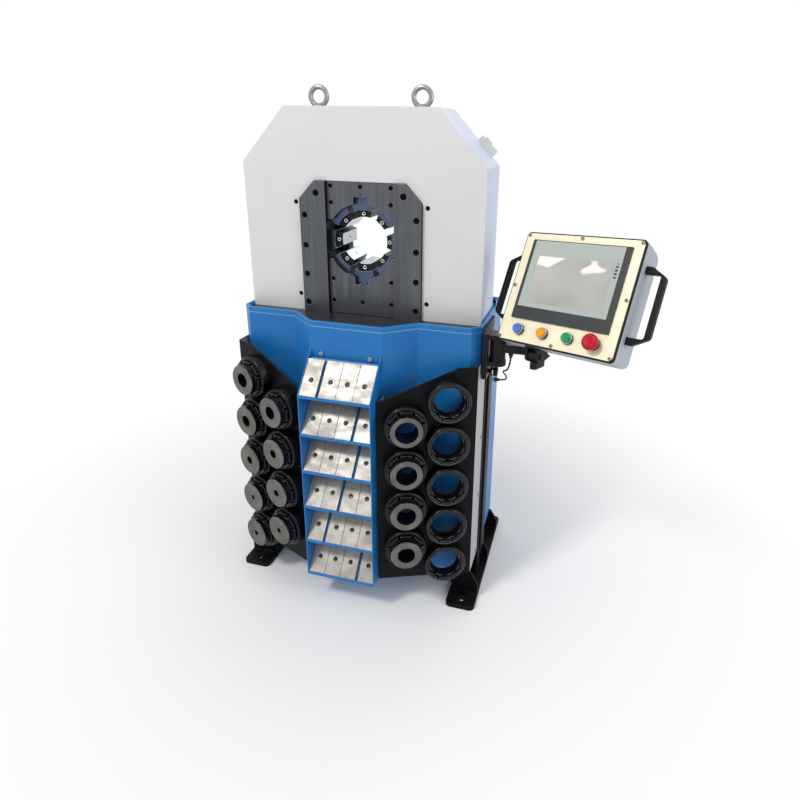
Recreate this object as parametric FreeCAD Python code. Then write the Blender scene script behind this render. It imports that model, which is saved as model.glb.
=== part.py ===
import FreeCAD, Part
import math
import os

from FreeCAD import Placement, Rotation, Vector

# Hose crimping machine. Millimetres, +Z up from the floor, -Y to the front.
# The origin is on the floor at the centre of the four floor bolts.

past = 1.0                  # how far a cutting shape runs past what it cuts

# Cabinet and tray
tray_level = 862.0          # top of the tray's floor plate
floor_plate = 5.0
cabinet_bottom = 82.0
cabinet_half = 360.3
cabinet_front = -166.5
cabinet_rear = 182.5
corner_cut_x = 25.5
corner_cut_y = 26.8
nose_half = 106.4           # flat front of the nose
nose_root_half = 186.2
nose_depth = 67.8
cabinet_sheet = 3.0
rim_height = 11.1           # above the tray's floor plate
rim_width = 10.0
rim_groove = 2.0
rim_groove_inset = 4.0
rim_round = 3.0
lug_width = 9.0             # lug on the rim behind the head's right side
lug_front = 76.0
lug_depth = 10.0
lug_height = 26.0
lug_bolt = 4.5
deck_opening_margin = 4.0
rear_window_half = 285.0
rear_window_bottom = 150.0
rear_window_top = 800.0
cover_overlap = 20.0
cover_sheet = 2.0
louvre_rows = 8
louvre_pitch = 26.0
louvre_half = 90.0
louvre_height = 8.0
louvre_first = 230.0
cover_screw = 5.0
cover_screw_height = 4.0

# Feet
bolt_spacing_x = 690.0
bolt_spacing_y = 415.0
bolt_hole_radius = 9.0
foot_inner = 300.0
foot_outer = 389.0
foot_half_length = 237.0
foot_plate = 12.0
foot_corner = 15.0
gusset_height = 83.0
gusset_outer_height = 44.0
gusset_thickness = 8.0
gusset_pitch = 169.5
gusset_inset = 10.0         # at the foot plate; it leans out to the cabinet's bottom
gusset_lean = 20.0
upright_thickness = 6.0
upright_front = -77.0       # beside the die rack's flange
upright_top_front = -117.5  # above the die rack
upright_rear = 27.5
web_front = -52.0
web_rear = -2.0
web_thickness = 6.0
web_top_gap = 60.0

# Head casing and press frame, heights above the tray
head_front = -107.5
head_depth = 181.0
head_half = 350.0
head_top_half = 216.0
head_height = 568.0
head_shoulder = 421.4
casing_sheet = 3.0
frame_side_gap = 50.0       # inside the casing's outline
frame_chamfer_gap = 26.0
frame_shoulder_gap = 11.4
frame_top_gap = 38.0
frame_foot_half = 258.0
frame_window_half = 150.0
frame_window_top = 345.0
frame_window_bottom = -70.0
frame_bottom = -150.0

# Guides and cover plates
guide_inner = 100.0
guide_outer = 178.0
guide_top_half = 132.0
guide_top = 375.7
guide_shoulder = 326.2
guide_proud = 10.0
guide_thickness = 24.0
rear_guide_thickness = 34.0
plate_thickness = 12.0
plate_side_gap = 0.3
window_gap = 0.6
upper_plate_bottom = 271.0
lower_plate_top = 160.0
lower_plate_bottom = 1.0
plate_arc_radius = 100.0
plate_arc_shift = 5.0       # each arc's centre, away from the bore's axis
keyway_half = 21.0
keyway_reach = 123.0

# Dies, measured from the bore's axis
bore_height = 212.0         # above the tray
opening_radius = 67.0
insert_seat_radius = 86.0
die_length = 127.0
die_end_gap = 4.0
insert_front = 30.0         # behind the head's front skin
insert_length = 103.0
insert_hole_radius = 3.0
insert_hole_depth = 8.0
die_gap = 17.0              # between neighbouring dies when open
insert_side_step = 1.0
shallow_reach = 110.9       # diagonal dies' sliding face
steep_reach = 119.85        # side dies' sliding faces
slide_gap = 0.15
shoulder_reach = 108.0
tab_half = 20.0
tab_reach = 122.0
seat_gap = 0.1
shoulder_relief = 1.0
tail_relief = 0.5
horn_half_gap = 24.0
side_die_tip = 149.2
insert_screw_radius = 5.5
insert_screw_proud = 4.0
insert_screw_reach = 76.5
slide_half = 149.7
slide_bottom = -60.0        # above the tray
slide_end_gap = 0.2

# Screws
guide_screw = 8.5
corner_screw = 9.0
plate_screw = 6.0
casing_screw = 6.2
dowel_hole = 2.6
dowel_reach = 129.5
screw_head = 9.0
screw_recess = 1.2
screw_gap = 0.4
casing_screw_x = 192.5
casing_screw_heights = (49.5, 315.0)
guide_screw_x = 163.8
guide_screw_heights = (28.6, 112.5, 196.0, 281.3)
rear_screw_heights = (28.6, 281.3)
corner_screw_x = 127.2
corner_screw_height = 342.8
plate_screw_x = 88.0
upper_screw_high = 362.8
upper_screw_low = 317.7
lower_screw_high = 102.2
lower_screw_low = 37.7

# Hydraulics
cylinder_radius = 115.0
cylinder_flange_radius = 125.0
cylinder_flange = 30.0
cylinder_length = 290.0
cylinder_end = 40.0
gland_length = 40.0
rod_radius = 75.0
rod_clearance = 1.0
piston_radius = 90.0
piston_height = 50.0
piston_rest = 0.2           # above the cylinder's end
running_gap = 0.05
tank_half = 330.0
tank_front = -150.0
tank_rear = 165.0
tank_height = 215.0
tank_sheet = 3.0
motor_x = 225.0
motor_radius = 78.0
motor_height = 270.0
motor_flange_radius = 92.0
motor_flange = 12.0
motor_fin_count = 12
motor_fin_height = 7.0
motor_fin_width = 6.0
motor_fin_root = 2.0
motor_fin_gap = 54.0        # below the motor's top
pump_radius = 60.0
pump_height = 120.0
pump_gap = 2.0
valve_x = -235.0
valve_width = 110.0
valve_height = 100.0
solenoid_radius = 20.0
solenoid_length = 60.0
pipe_radius = 8.0
pipe_bend = 30.0
pipe_rise = 90.0

# Lifting eyes
eye_x = 150.0
eye_y = -22.5
eye_outer = 31.0
eye_inner = 17.5
eye_centre = 27.0           # above the casing's top, which cuts the ring off
eye_collar_radius = 18.0
eye_collar_top = 12.6
eye_collar = 8.0
eye_shank_radius = 8.0
eye_thread = 38.0
shank_gap = 1.0             # round the shank in the casing's top

# Limit switch behind the right chamfer, seen from the front
switch_x = 308.0
switch_height = 480.0
switch_size = 24.0
switch_block = 20.0
switch_second = 27.0
switch_second_size = 18.0
switch_bracket = 2.0
switch_bracket_tail = 10.0
switch_bracket_short = 4.0
switch_bracket_half = 40.0

# Block rack
rack_half = 105.0
rack_front = -329.5
rack_bottom = 100.0
rack_sheet = 2.0
lip_top = 690.0             # front lip of the highest shelf
lip_pitch = 116.2
lip_height = 9.0
shelf_back_gap = 8.0        # clear of the bolts in the rack's back
lip_drop = 17.0             # from the lip's top down to the shelf's line
shelf_count = 6
shelf_angle = 49.0
back_top = 817.0
block_length = 108.0
block_width = 48.0
block_thickness = 9.0
block_hole_radius = 6.0
block_hole_place = 47.0     # up the slope from the block's lower end
block_gap = 1.2
block_lip_gap = 0.2
wide_gap_after = (1, 3, 3, 2, 1, 3)
rack_bolt_x = 72.0
rack_bolt_z = 781.0
rack_bolt_radius = 6.0
rack_bolt_height = 5.0

# Die racks
rack_gap = 3.0              # above the rack's top, below the upright's wide part
panel_inner_x = 107.0
panel_inner_y = -290.5
panel_outer_x = 363.5
panel_outer_y = -186.5
panel_flange_rear = -79.0
panel_sheet = 3.0
panel_bottom = 100.0
panel_top_inner = 678.0
panel_top_outer = 773.0
panel_level_x = 314.0       # where the sloping top turns level
outer_column = 196.0        # along the panel from its inner edge
inner_column = 79.0
outer_first = 682.0
inner_first = 614.5
die_pitch = 130.8
outer_count = 5
inner_count = 4
ring_radius = 61.0
ring_length = 32.0
ring_bore = 43.3
segment_radius = 45.0
segment_length = 58.0
segment_fit = 0.3
panel_hole = 38.5
notch_count = 8
notch_width = 5.0
notch_depth = 9.0
notch_reach = 10.0
right_inner_bores = (31.5, 29.0, 27.0, 25.0)
left_inner_bores = (19.0, 12.5, 10.0, 8.0)
left_outer_bores = (21.0, 17.0, 12.0, 7.5, 8.0)
rack_screw_heights = (719.0, 521.0, 323.0, 120.0)
rack_screw_y = -105.5

# Control panel, held by the centre of its front and three turns
box_x = 577.4
box_y = -218.2
box_z = 1009.0
box_yaw = -31.1
box_tilt = 27.9
box_roll = 4.5
box_half_width = 165.0
box_half_height = 147.4
box_depth = 80.0
box_top_draft = 17.0
box_round = 20.0
box_sheet = 2.0
gasket_thickness = 5.0
gasket_border = 4.0
gasket_lap = 14.0
front_sheet = 3.0
front_corner = 12.0
screen_left = -135.0
screen_right = 137.5
screen_bottom = -85.0
screen_top = 125.0
screen_proud = 5.0
film_left = -126.0
film_right = 122.0
film_bottom = -52.5
film_top = 123.0
film_thickness = 1.0
display_left = -105.0
display_right = 106.0
display_bottom = -40.0
display_top = 83.0
display_recess = 0.3
button_level = -112.3
button_places = (-101.7, -31.2, 39.6)
stop_place = 108.4
button_ring_radius = 14.5
button_radius = 11.5
button_clearance = 0.3
button_ring_height = 9.0
button_proud = 17.0
button_depth = 6.0
button_crown = 2.0
stop_ring_radius = 15.0
stop_stem_radius = 9.0
stop_radius = 19.5
stop_proud = 30.0
stop_head = 12.0
stop_crown = 5.0
panel_screw_radius = 4.5
panel_screw_height = 2.5
panel_screw_x = 155.3
panel_screw_z = 137.9
handle_reach = 53.0         # out from the box's wall
handle_bar = 14.0
handle_thickness = 15.0     # into the box's depth
handle_depth = 36.0
handle_foot_half = 94.0     # the legs' outer edges at the wall
handle_foot = 15.0          # the legs run straight out this far
handle_bar_half = 72.0      # where the bar's outer edge ends
handle_grip_half = 76.0     # between the legs
handle_outer_round = 12.0
handle_inner_round = 6.0
handle_edge_round = 2.5

# Arm
pivot_x = 404.0
pivot_y = -130.0
pivot_radius = 12.0
hub_radius = 22.0
hub_bottom = 780.0
hub_top = 843.0
hub_gap = 0.3
lug_thickness = 13.0
lug_radius = 24.0
bracket_front = -160.0
bracket_rear = -60.0
bracket_bottom = 729.0
bracket_top = 860.0
bracket_thickness = 14.0
arm_half_width = 12.0
arm_bottom = 806.0
arm_top = 829.0
neck_top = 826.0
neck_reach = 30.0           # straight back from the tilt pin to the neck's bend
elbow_x = 486.0
elbow_y = -130.0
tilt_x = -62.0              # tilt pin, in the panel's own directions
tilt_depth = 40.0
tilt_level = -166.0
tilt_lug_radius = 13.0
tilt_ear_radius = 16.0
tilt_pin = 7.0
tilt_half = 12.0
neck_half = 10.0            # clear of the ears, which lean with the box
tilt_ear = 7.0
tilt_pin_proud = 4.0
tilt_pad = 5.0
tilt_pad_front = 14.0
tilt_pad_rear = 60.0
tilt_tail_rear = 80.0
knob_radius = 13.0
knob_length = 20.0
knob_stem_radius = 6.0
knob_stem = 6.0
knob_y = -125.0
knob_level = 742.0
cable_radius = 2.5
cable_route = (
    (441.0, -134.0, 806.0),
    (441.0, -134.0, 780.0),
    (432.0, -102.0, 746.0),
    (420.0, -50.0, 718.0),
    (405.0, 10.0, 692.0),
    (394.0, 66.0, 664.0),
    (400.0, 110.0, 636.0),
    (398.0, 138.0, 606.0),
    (360.3, 138.0, 606.0),
)

# Places worked out from the sizes above
frame_half = head_half - frame_side_gap
frame_top_half = head_top_half - frame_chamfer_gap
frame_shoulder = head_shoulder - frame_shoulder_gap
frame_height = head_height - frame_top_gap
slide_front = head_front - guide_proud + guide_thickness
slide_rear = slide_front + die_length + 2 * die_end_gap
head_rear = head_front + head_depth
bore_y = (slide_front + slide_rear) / 2
bore_z = tray_level + bore_height
die_front = slide_front + die_end_gap
die_rear = slide_rear - die_end_gap
deck_top = tray_level - floor_plate
nose_front = cabinet_front - nose_depth
upright_outer = cabinet_half + upright_thickness


def box(x0, x1, y0, y1, z0, z1):
    return Part.makeBox(x1 - x0, y1 - y0, z1 - z0, Vector(x0, y0, z0))


def rod(radius, start, end):
    axis = end - start
    return Part.makeCylinder(radius, axis.Length, start, axis)


def tube(outer, inner, start, end):
    return rod(outer, start, end).cut(rod(inner, start, end))


def face_of(points):
    return Part.Face(Part.makePolygon(points + points[:1]))


def front_profile(outline, y0, y1):
    """Extrude an outline of (x, z) points from y0 back to y1."""
    return face_of([Vector(x, y0, z) for x, z in outline]).extrude(Vector(0, y1 - y0, 0))


def plan_profile(outline, z0, z1):
    """Extrude an outline of (x, y) points from z0 up to z1."""
    return face_of([Vector(x, y, z0) for x, y in outline]).extrude(Vector(0, 0, z1 - z0))


def side_profile(outline, x0, x1):
    """Extrude an outline of (y, z) points from x0 across to x1."""
    return face_of([Vector(x0, y, z) for y, z in outline]).extrude(Vector(x1 - x0, 0, 0))


def symmetric(right_half):
    """Close an outline whose right half runs from its far end to the middle plane."""
    return right_half + [(-x, other) for x, other in reversed(right_half)]


def across(shape):
    """The shape's twin on the other side of the middle plane."""
    return shape.mirror(Vector(0, 0, 0), Vector(1, 0, 0))


def both(shape):
    return [shape, across(shape)]


def fuse(shapes):
    return shapes[0].multiFuse(shapes[1:]).removeSplitter()


def cut_all(shape, tools):
    return shape.cut(Part.makeCompound(tools)) if tools else shape


def upright_edges(shape):
    """Edges that run straight up."""
    found = []
    for edge in shape.Edges:
        a, b = edge.Vertexes[0].Point, edge.Vertexes[-1].Point
        if math.hypot(a.x - b.x, a.y - b.y) < 0.01 and abs(a.z - b.z) > 1.0:
            found.append(edge)
    return found


def level_edges(shape, z):
    """Edges that lie all the way at one height."""
    return [edge for edge in shape.Edges if all(abs(v.Z - z) < 0.01 for v in edge.Vertexes)]


def write(name, shapes):
    """One file for one node, with all of its solids."""
    found = [solid for shape in shapes for solid in shape.Solids]
    shape = found[0] if len(found) == 1 else Part.makeCompound(found)
    shape.exportStep(os.path.join("parts", name + ".step"))


# Cabinet and tray

def cabinet_outline():
    return symmetric([
        (cabinet_half, cabinet_rear),
        (cabinet_half, cabinet_front + corner_cut_y),
        (cabinet_half - corner_cut_x, cabinet_front),
        (nose_root_half, cabinet_front),
        (nose_half, nose_front),
    ])


def cabinet_block(inset, z0, z1):
    """The cabinet's plan outline drawn in by the inset, from z0 up to z1."""
    face = face_of([Vector(x, y, z0) for x, y in cabinet_outline()])
    if inset:
        face = face.makeOffset2D(-inset, 2)
    return face.extrude(Vector(0, 0, z1 - z0))


def frame_space(margin, z0, z1):
    half = frame_foot_half + margin
    return box(-half, half, head_front + casing_sheet - margin, head_rear - casing_sheet + margin, z0, z1)


def make_cabinet():
    shell = cabinet_block(0, cabinet_bottom, deck_top)
    shell = shell.cut(cabinet_block(cabinet_sheet, cabinet_bottom + cabinet_sheet, deck_top - cabinet_sheet))
    shell = shell.cut(frame_space(deck_opening_margin, deck_top - 2 * cabinet_sheet, deck_top + past))
    return shell.cut(box(-rear_window_half, rear_window_half, cabinet_rear - 2 * cabinet_sheet,
                         cabinet_rear + past, rear_window_bottom, rear_window_top))


def make_rear_cover():
    back = cabinet_rear + cover_sheet
    cover = box(-rear_window_half - cover_overlap, rear_window_half + cover_overlap, cabinet_rear, back,
                rear_window_bottom - cover_overlap, rear_window_top + cover_overlap)
    slots, hoods = [], []
    for row in range(louvre_rows):
        low = louvre_first + row * louvre_pitch
        high = low + louvre_height
        slots.append(box(-louvre_half, louvre_half, cabinet_rear - past, back + past, low, high))
        hood = [(back, high), (back, high + louvre_height), (back + louvre_height, high)]
        hoods.append(side_profile(hood, -louvre_half, louvre_half))
    return fuse([cut_all(cover, slots)] + hoods)


def cover_screws():
    x = rear_window_half + cover_overlap / 2
    back = cabinet_rear + cover_sheet
    heights = (rear_window_bottom - cover_overlap / 2, rear_window_top + cover_overlap / 2)
    return [rod(cover_screw, Vector(side * x, back, z), Vector(side * x, back + cover_screw_height, z))
            for side in (-1, 1) for z in heights]


def make_tray_rim():
    strip_top = deck_top + rim_groove
    top = tray_level + rim_height
    strip = cabinet_block(rim_groove_inset, deck_top, strip_top)
    lip = cabinet_block(0, strip_top, top)
    ring = lip.fuse(strip).cut(cabinet_block(rim_width, deck_top - past, top + past)).removeSplitter()
    ring = ring.makeFillet(rim_round, level_edges(ring, top))
    lug = box(cabinet_half - lug_width, cabinet_half, lug_front, lug_front + lug_depth, tray_level,
              top + lug_height)
    return ring.fuse(lug).removeSplitter()


def lug_bolt_head():
    x, z = cabinet_half - lug_width / 2, tray_level + rim_height + lug_height / 2
    return rod(lug_bolt, Vector(x, lug_front - cover_screw_height, z), Vector(x, lug_front, z))


def make_tray_floor():
    plate = cabinet_block(rim_width + seat_gap, deck_top, tray_level)
    return plate.cut(frame_space(seat_gap, deck_top - past, tray_level + past))


# Feet

def gusset(y):
    inner = foot_inner + gusset_inset
    outline = [(inner, foot_plate), (foot_outer, foot_plate), (foot_outer, gusset_outer_height),
               (upright_outer, gusset_height), (cabinet_half, gusset_height), (cabinet_half, cabinet_bottom),
               (inner - gusset_lean, cabinet_bottom)]
    return front_profile(outline, y - gusset_thickness / 2, y + gusset_thickness / 2)


def make_foot():
    """Right foot: base plate, gussets and the upright against the cabinet's side."""
    plate = box(foot_inner, foot_outer, -foot_half_length, foot_half_length, 0, foot_plate)
    plate = plate.makeFillet(foot_corner, upright_edges(plate))
    x = bolt_spacing_x / 2
    holes = [rod(bolt_hole_radius, Vector(x, y, -past), Vector(x, y, foot_plate + past))
             for y in (-bolt_spacing_y / 2, bolt_spacing_y / 2)]
    above_rack = panel_top_outer + rack_gap
    outline = [(upright_rear, foot_plate), (upright_rear, deck_top), (upright_top_front, deck_top),
               (upright_top_front, above_rack), (upright_front, above_rack), (upright_front, foot_plate)]
    upright = side_profile(outline, cabinet_half, upright_outer)
    web = box(upright_outer, upright_outer + web_thickness, web_front, web_rear, cabinet_bottom,
              deck_top - web_top_gap)
    gussets = [gusset(y) for y in (-gusset_pitch, 0, gusset_pitch)]
    return cut_all(fuse([plate, upright, web] + gussets), holes)


# Head

def casing_outline(inset):
    slope = math.atan2(head_height - head_shoulder, head_half - head_top_half)
    shoulder = head_shoulder - inset * math.tan((math.pi / 2 - slope) / 2)
    top_half = head_top_half - inset * math.tan(slope / 2)
    foot = tray_level - (1.0 if inset else 0.0)
    return symmetric([(head_half - inset, foot), (head_half - inset, tray_level + shoulder),
                      (top_half, tray_level + head_height - inset)])


def guide_outline(gap):
    foot = tray_level - (1.0 if gap else 0.0)
    return symmetric([(guide_outer + gap, foot), (guide_outer + gap, tray_level + guide_shoulder + gap / 2),
                      (guide_top_half + gap / 2, tray_level + guide_top + gap)])


def casing_screw_places():
    return [(side * casing_screw_x, tray_level + z) for side in (-1, 1) for z in casing_screw_heights]


def guide_screw_places(heights):
    return [(side * guide_screw_x, tray_level + z) for side in (-1, 1) for z in heights]


def corner_screw_places():
    return [(side * corner_screw_x, tray_level + corner_screw_height) for side in (-1, 1)]


def upper_screw_places():
    x = plate_screw_x
    high = [(place, tray_level + upper_screw_high) for place in (-x, 0, x)]
    return high + [(place, tray_level + upper_screw_low) for place in (-x, x)]


def lower_screw_places():
    x = plate_screw_x
    low = [(place, tray_level + lower_screw_low) for place in (-x, 0, x)]
    return low + [(place, tray_level + lower_screw_high) for place in (-x, x)]


def pockets(places, face, inward, radius):
    """Round pockets for screw heads, sunk from the face at y = face."""
    depth = inward * (screw_head + screw_recess)
    return [rod(radius + screw_gap, Vector(x, face - inward, z), Vector(x, face + depth, z))
            for x, z in places]


def screw_heads(places, face, inward, radius):
    start = face + inward * screw_recess
    return [rod(radius, Vector(x, start, z), Vector(x, start + inward * screw_head, z)) for x, z in places]


def make_casing():
    casing = front_profile(casing_outline(0), head_front, head_rear)
    inside = front_profile(casing_outline(casing_sheet), head_front + casing_sheet, head_rear - casing_sheet)
    window = front_profile(guide_outline(window_gap), head_front - past, head_rear + past)
    top = tray_level + head_height
    below, above = top - 2 * casing_sheet, top + past
    holes = [rod(eye_shank_radius + shank_gap, Vector(x, eye_y, below), Vector(x, eye_y, above))
             for x in (-eye_x, eye_x)]
    holes += pockets(casing_screw_places(), head_front, 1, casing_screw)
    return cut_all(casing.cut(inside).cut(window), holes)


def make_frame():
    y0, y1 = head_front + casing_sheet, head_rear - casing_sheet
    outline = symmetric([(frame_foot_half, tray_level + frame_bottom), (frame_foot_half, tray_level),
                         (frame_half, tray_level), (frame_half, tray_level + frame_shoulder),
                         (frame_top_half, tray_level + frame_height)])
    frame = front_profile(outline, y0, y1)
    window = box(-frame_window_half, frame_window_half, y0 - past, y1 + past,
                 tray_level + frame_window_bottom, tray_level + frame_window_top)
    recess = guide_outline(window_gap)
    seats = [front_profile(recess, y0 - past, slide_front), front_profile(recess, slide_rear, y1 + past)]
    rod_hole = rod(rod_radius + rod_clearance, Vector(0, bore_y, tray_level + frame_bottom - past),
                   Vector(0, bore_y, tray_level + frame_window_bottom + past))
    top = tray_level + frame_height
    threads = [rod(eye_shank_radius + seat_gap, Vector(x, eye_y, top - eye_thread - past),
                   Vector(x, eye_y, top + past)) for x in (-eye_x, eye_x)]
    heads = pockets(casing_screw_places(), head_front, 1, casing_screw)
    return cut_all(frame.cut(window), seats + [rod_hole] + threads + heads)


def make_guides():
    """Side guides, front and rear, with their chamfered tops."""
    top = tray_level + guide_top
    outline = [(guide_inner, tray_level), (guide_outer, tray_level),
               (guide_outer, tray_level + guide_shoulder), (guide_top_half, top), (guide_inner, top)]
    front_face = head_front - guide_proud
    rear_face = slide_rear + rear_guide_thickness
    front = front_profile(outline, front_face, slide_front)
    rear = front_profile(outline, slide_rear, rear_face)
    front_pockets = pockets(guide_screw_places(guide_screw_heights), front_face, 1, guide_screw)
    front_pockets += pockets(corner_screw_places(), front_face, 1, corner_screw)
    rear_pockets = pockets(guide_screw_places(rear_screw_heights), rear_face, -1, guide_screw)
    return ([cut_all(half, front_pockets) for half in both(front)]
            + [cut_all(half, rear_pockets) for half in both(rear)])


def plate_with_arc(z0, z1, arc_z, keyway_z, y0, y1):
    """Cover plate between the guides, with its round cut-out and the keyway for the end die's tab."""
    half = guide_inner - plate_side_gap
    plate = box(-half, half, y0, y1, z0, z1)
    arc = rod(plate_arc_radius, Vector(0, y0 - past, arc_z), Vector(0, y1 + past, arc_z))
    low, high = sorted((bore_z, keyway_z))
    return plate.cut(arc).cut(box(-keyway_half, keyway_half, y0 - past, y1 + past, low, high))


def make_upper_plates():
    z0, z1 = tray_level + upper_plate_bottom, tray_level + guide_top
    arc_z, key_z = bore_z + plate_arc_shift, bore_z + keyway_reach
    face = slide_front - plate_thickness
    front = plate_with_arc(z0, z1, arc_z, key_z, face, slide_front)
    rear = plate_with_arc(z0, z1, arc_z, key_z, slide_rear, slide_rear + plate_thickness)
    dowel_z = bore_z + dowel_reach
    dowel = rod(dowel_hole, Vector(0, face - past, dowel_z), Vector(0, slide_front, dowel_z))
    front = cut_all(front, pockets(upper_screw_places(), face, 1, plate_screw) + [dowel])
    rear = cut_all(rear, pockets(upper_screw_places()[3:], slide_rear + plate_thickness, -1, plate_screw))
    return [front, rear]


def lower_plate_faces():
    return (slide_front + slide_end_gap - plate_thickness, slide_rear - slide_end_gap + plate_thickness)


def make_lower_plates():
    z0, z1 = tray_level + lower_plate_bottom, tray_level + lower_plate_top
    arc_z, key_z = bore_z - plate_arc_shift, bore_z - keyway_reach
    face, back = lower_plate_faces()
    front = plate_with_arc(z0, z1, arc_z, key_z, face, face + plate_thickness)
    rear = plate_with_arc(z0, z1, arc_z, key_z, back - plate_thickness, back)
    front = cut_all(front, pockets(lower_screw_places(), face, 1, plate_screw))
    rear = cut_all(rear, pockets(lower_screw_places()[3:], back, -1, plate_screw))
    return [front, rear]


def make_slide_screws():
    face, back = lower_plate_faces()
    return (screw_heads(lower_screw_places(), face, 1, plate_screw)
            + screw_heads(lower_screw_places()[3:], back, -1, plate_screw))


def make_frame_screws():
    front_face = head_front - guide_proud
    rear_face = slide_rear + rear_guide_thickness
    plate_back = slide_rear + plate_thickness
    heads = screw_heads(casing_screw_places(), head_front, 1, casing_screw)
    heads += screw_heads(guide_screw_places(guide_screw_heights), front_face, 1, guide_screw)
    heads += screw_heads(corner_screw_places(), front_face, 1, corner_screw)
    heads += screw_heads(guide_screw_places(rear_screw_heights), rear_face, -1, guide_screw)
    heads += screw_heads(upper_screw_places(), slide_front - plate_thickness, 1, plate_screw)
    heads += screw_heads(upper_screw_places()[3:], plate_back, -1, plate_screw)
    return heads + cover_screws() + rack_bolts() + rack_screws() + [lug_bolt_head()]


def make_eye_bolt():
    """Lifting eye with its collar on the casing and its shank in the frame."""
    top = tray_level + head_height
    ring = Part.makeTorus((eye_outer + eye_inner) / 2, (eye_outer - eye_inner) / 2,
                          Vector(eye_x, eye_y, top + eye_centre), Vector(0, 1, 0))
    ring = ring.cut(box(eye_x - eye_outer, eye_x + eye_outer, eye_y - eye_outer, eye_y + eye_outer,
                        top - eye_outer, top))
    collar = Part.makeCone(eye_collar_radius, eye_collar_top, eye_collar, Vector(eye_x, eye_y, top))
    shank = rod(eye_shank_radius, Vector(eye_x, eye_y, tray_level + frame_height - eye_thread),
                Vector(eye_x, eye_y, top))
    return fuse([ring, collar, shank])


def make_switch():
    """Two small blocks on a bracket at the back of the right chamfer."""
    turn = math.degrees(math.atan2(head_height - head_shoulder, head_half - head_top_half))

    def place(shape):
        shape.Placement = Placement(Vector(switch_x, head_rear, tray_level + switch_height),
                                    Rotation(Vector(0, 1, 0), turn))
        return shape

    half, second = switch_size / 2, switch_second_size / 2
    front = switch_bracket
    bracket = place(box(-half - switch_bracket_tail, switch_bracket_half, 0, switch_bracket, -switch_size,
                        half - switch_bracket_short))
    first = place(box(-half, half, front, front + switch_block, -half, half))
    second_block = place(box(switch_second - second, switch_second + second, front, front + switch_block,
                             -half, second))
    return [bracket, first, second_block]


# Dies and their beams, drawn in the plane across the bore

def meet(normal_a, reach_a, normal_b, reach_b):
    """Where two lines cross, each given by its normal and its distance from the bore's axis."""
    (ax, az), (bx, bz) = normal_a, normal_b
    cross = ax * bz - az * bx
    return ((reach_a * bz - reach_b * az) / cross, (ax * reach_b - bx * reach_a) / cross)


def normal(degrees):
    return (math.cos(math.radians(degrees)), math.sin(math.radians(degrees)))


plumb = normal(0)
steep = normal(45)          # side dies' sliding face
shallow = normal(67.5)      # diagonal dies' sliding face
level = normal(90)
low_gap = normal(112.5)     # across the gap between side die and diagonal die
high_gap = normal(157.5)    # across the gap between diagonal die and end die


def gap_point(gap_normal, offset, reach):
    """A point beside a gap's middle line, the reach out from the axis."""
    along_x, along_z = gap_normal[1], -gap_normal[0]
    return (gap_normal[0] * offset + along_x * reach, gap_normal[1] * offset + along_z * reach)


def beam(half_width, reach, y0, y1):
    """Upper wedge beam: keyway, seat, shallow face, steep face and horn."""
    shallow_face = shallow_reach + slide_gap
    steep_face = steep_reach + slide_gap
    right = [(half_width, reach), (half_width, horn_half_gap), meet(steep, steep_face, level, horn_half_gap),
             meet(shallow, shallow_face, steep, steep_face),
             meet(level, shoulder_reach, shallow, shallow_face),
             (tab_half + seat_gap, shoulder_reach), (tab_half + seat_gap, tab_reach + seat_gap)]
    return front_profile([(x, z + bore_z) for x, z in symmetric(right)], y0, y1)


def upside_down(shape):
    return shape.mirror(Vector(0, 0, bore_z), Vector(0, 0, 1))


def make_upper_beam():
    return beam(frame_window_half, frame_window_top - bore_height, slide_front, slide_rear)


def make_lower_slide():
    return upside_down(beam(slide_half, bore_height - slide_bottom, slide_front + slide_end_gap,
                            slide_rear - slide_end_gap))


def die_blank(outline):
    blank = front_profile([(x, z + bore_z) for x, z in outline], die_front, die_rear)
    seat = rod(insert_seat_radius, Vector(0, die_front - past, bore_z), Vector(0, die_rear + past, bore_z))
    return blank.cut(seat)


def end_die():
    """Top die: its shoulders seat on the beam and its tab locks in the keyway."""
    side = die_gap / 2
    relieved = shallow_reach - shoulder_relief
    return die_blank(symmetric([
        gap_point(high_gap, side, opening_radius), meet(high_gap, side, shallow, relieved),
        meet(shallow, relieved, level, shoulder_reach), (tab_half, shoulder_reach), (tab_half, tab_reach)]))


def diagonal_die():
    """Upper right die: its flat back slides on the beam's shallow face."""
    side = die_gap / 2
    tail = steep_reach - tail_relief
    return die_blank([
        gap_point(high_gap, -side, opening_radius), meet(high_gap, -side, shallow, shallow_reach),
        meet(shallow, shallow_reach, steep, tail), meet(steep, tail, low_gap, side),
        gap_point(low_gap, side, opening_radius)])


def side_die():
    """Right die: a wedge between the steep faces of the beam and of the slide."""
    side = die_gap / 2
    upper = [gap_point(low_gap, -side, opening_radius), meet(low_gap, -side, steep, steep_reach),
             meet(steep, steep_reach, plumb, side_die_tip)]
    return die_blank(upper + [(x, -z) for x, z in reversed(upper)])


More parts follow.
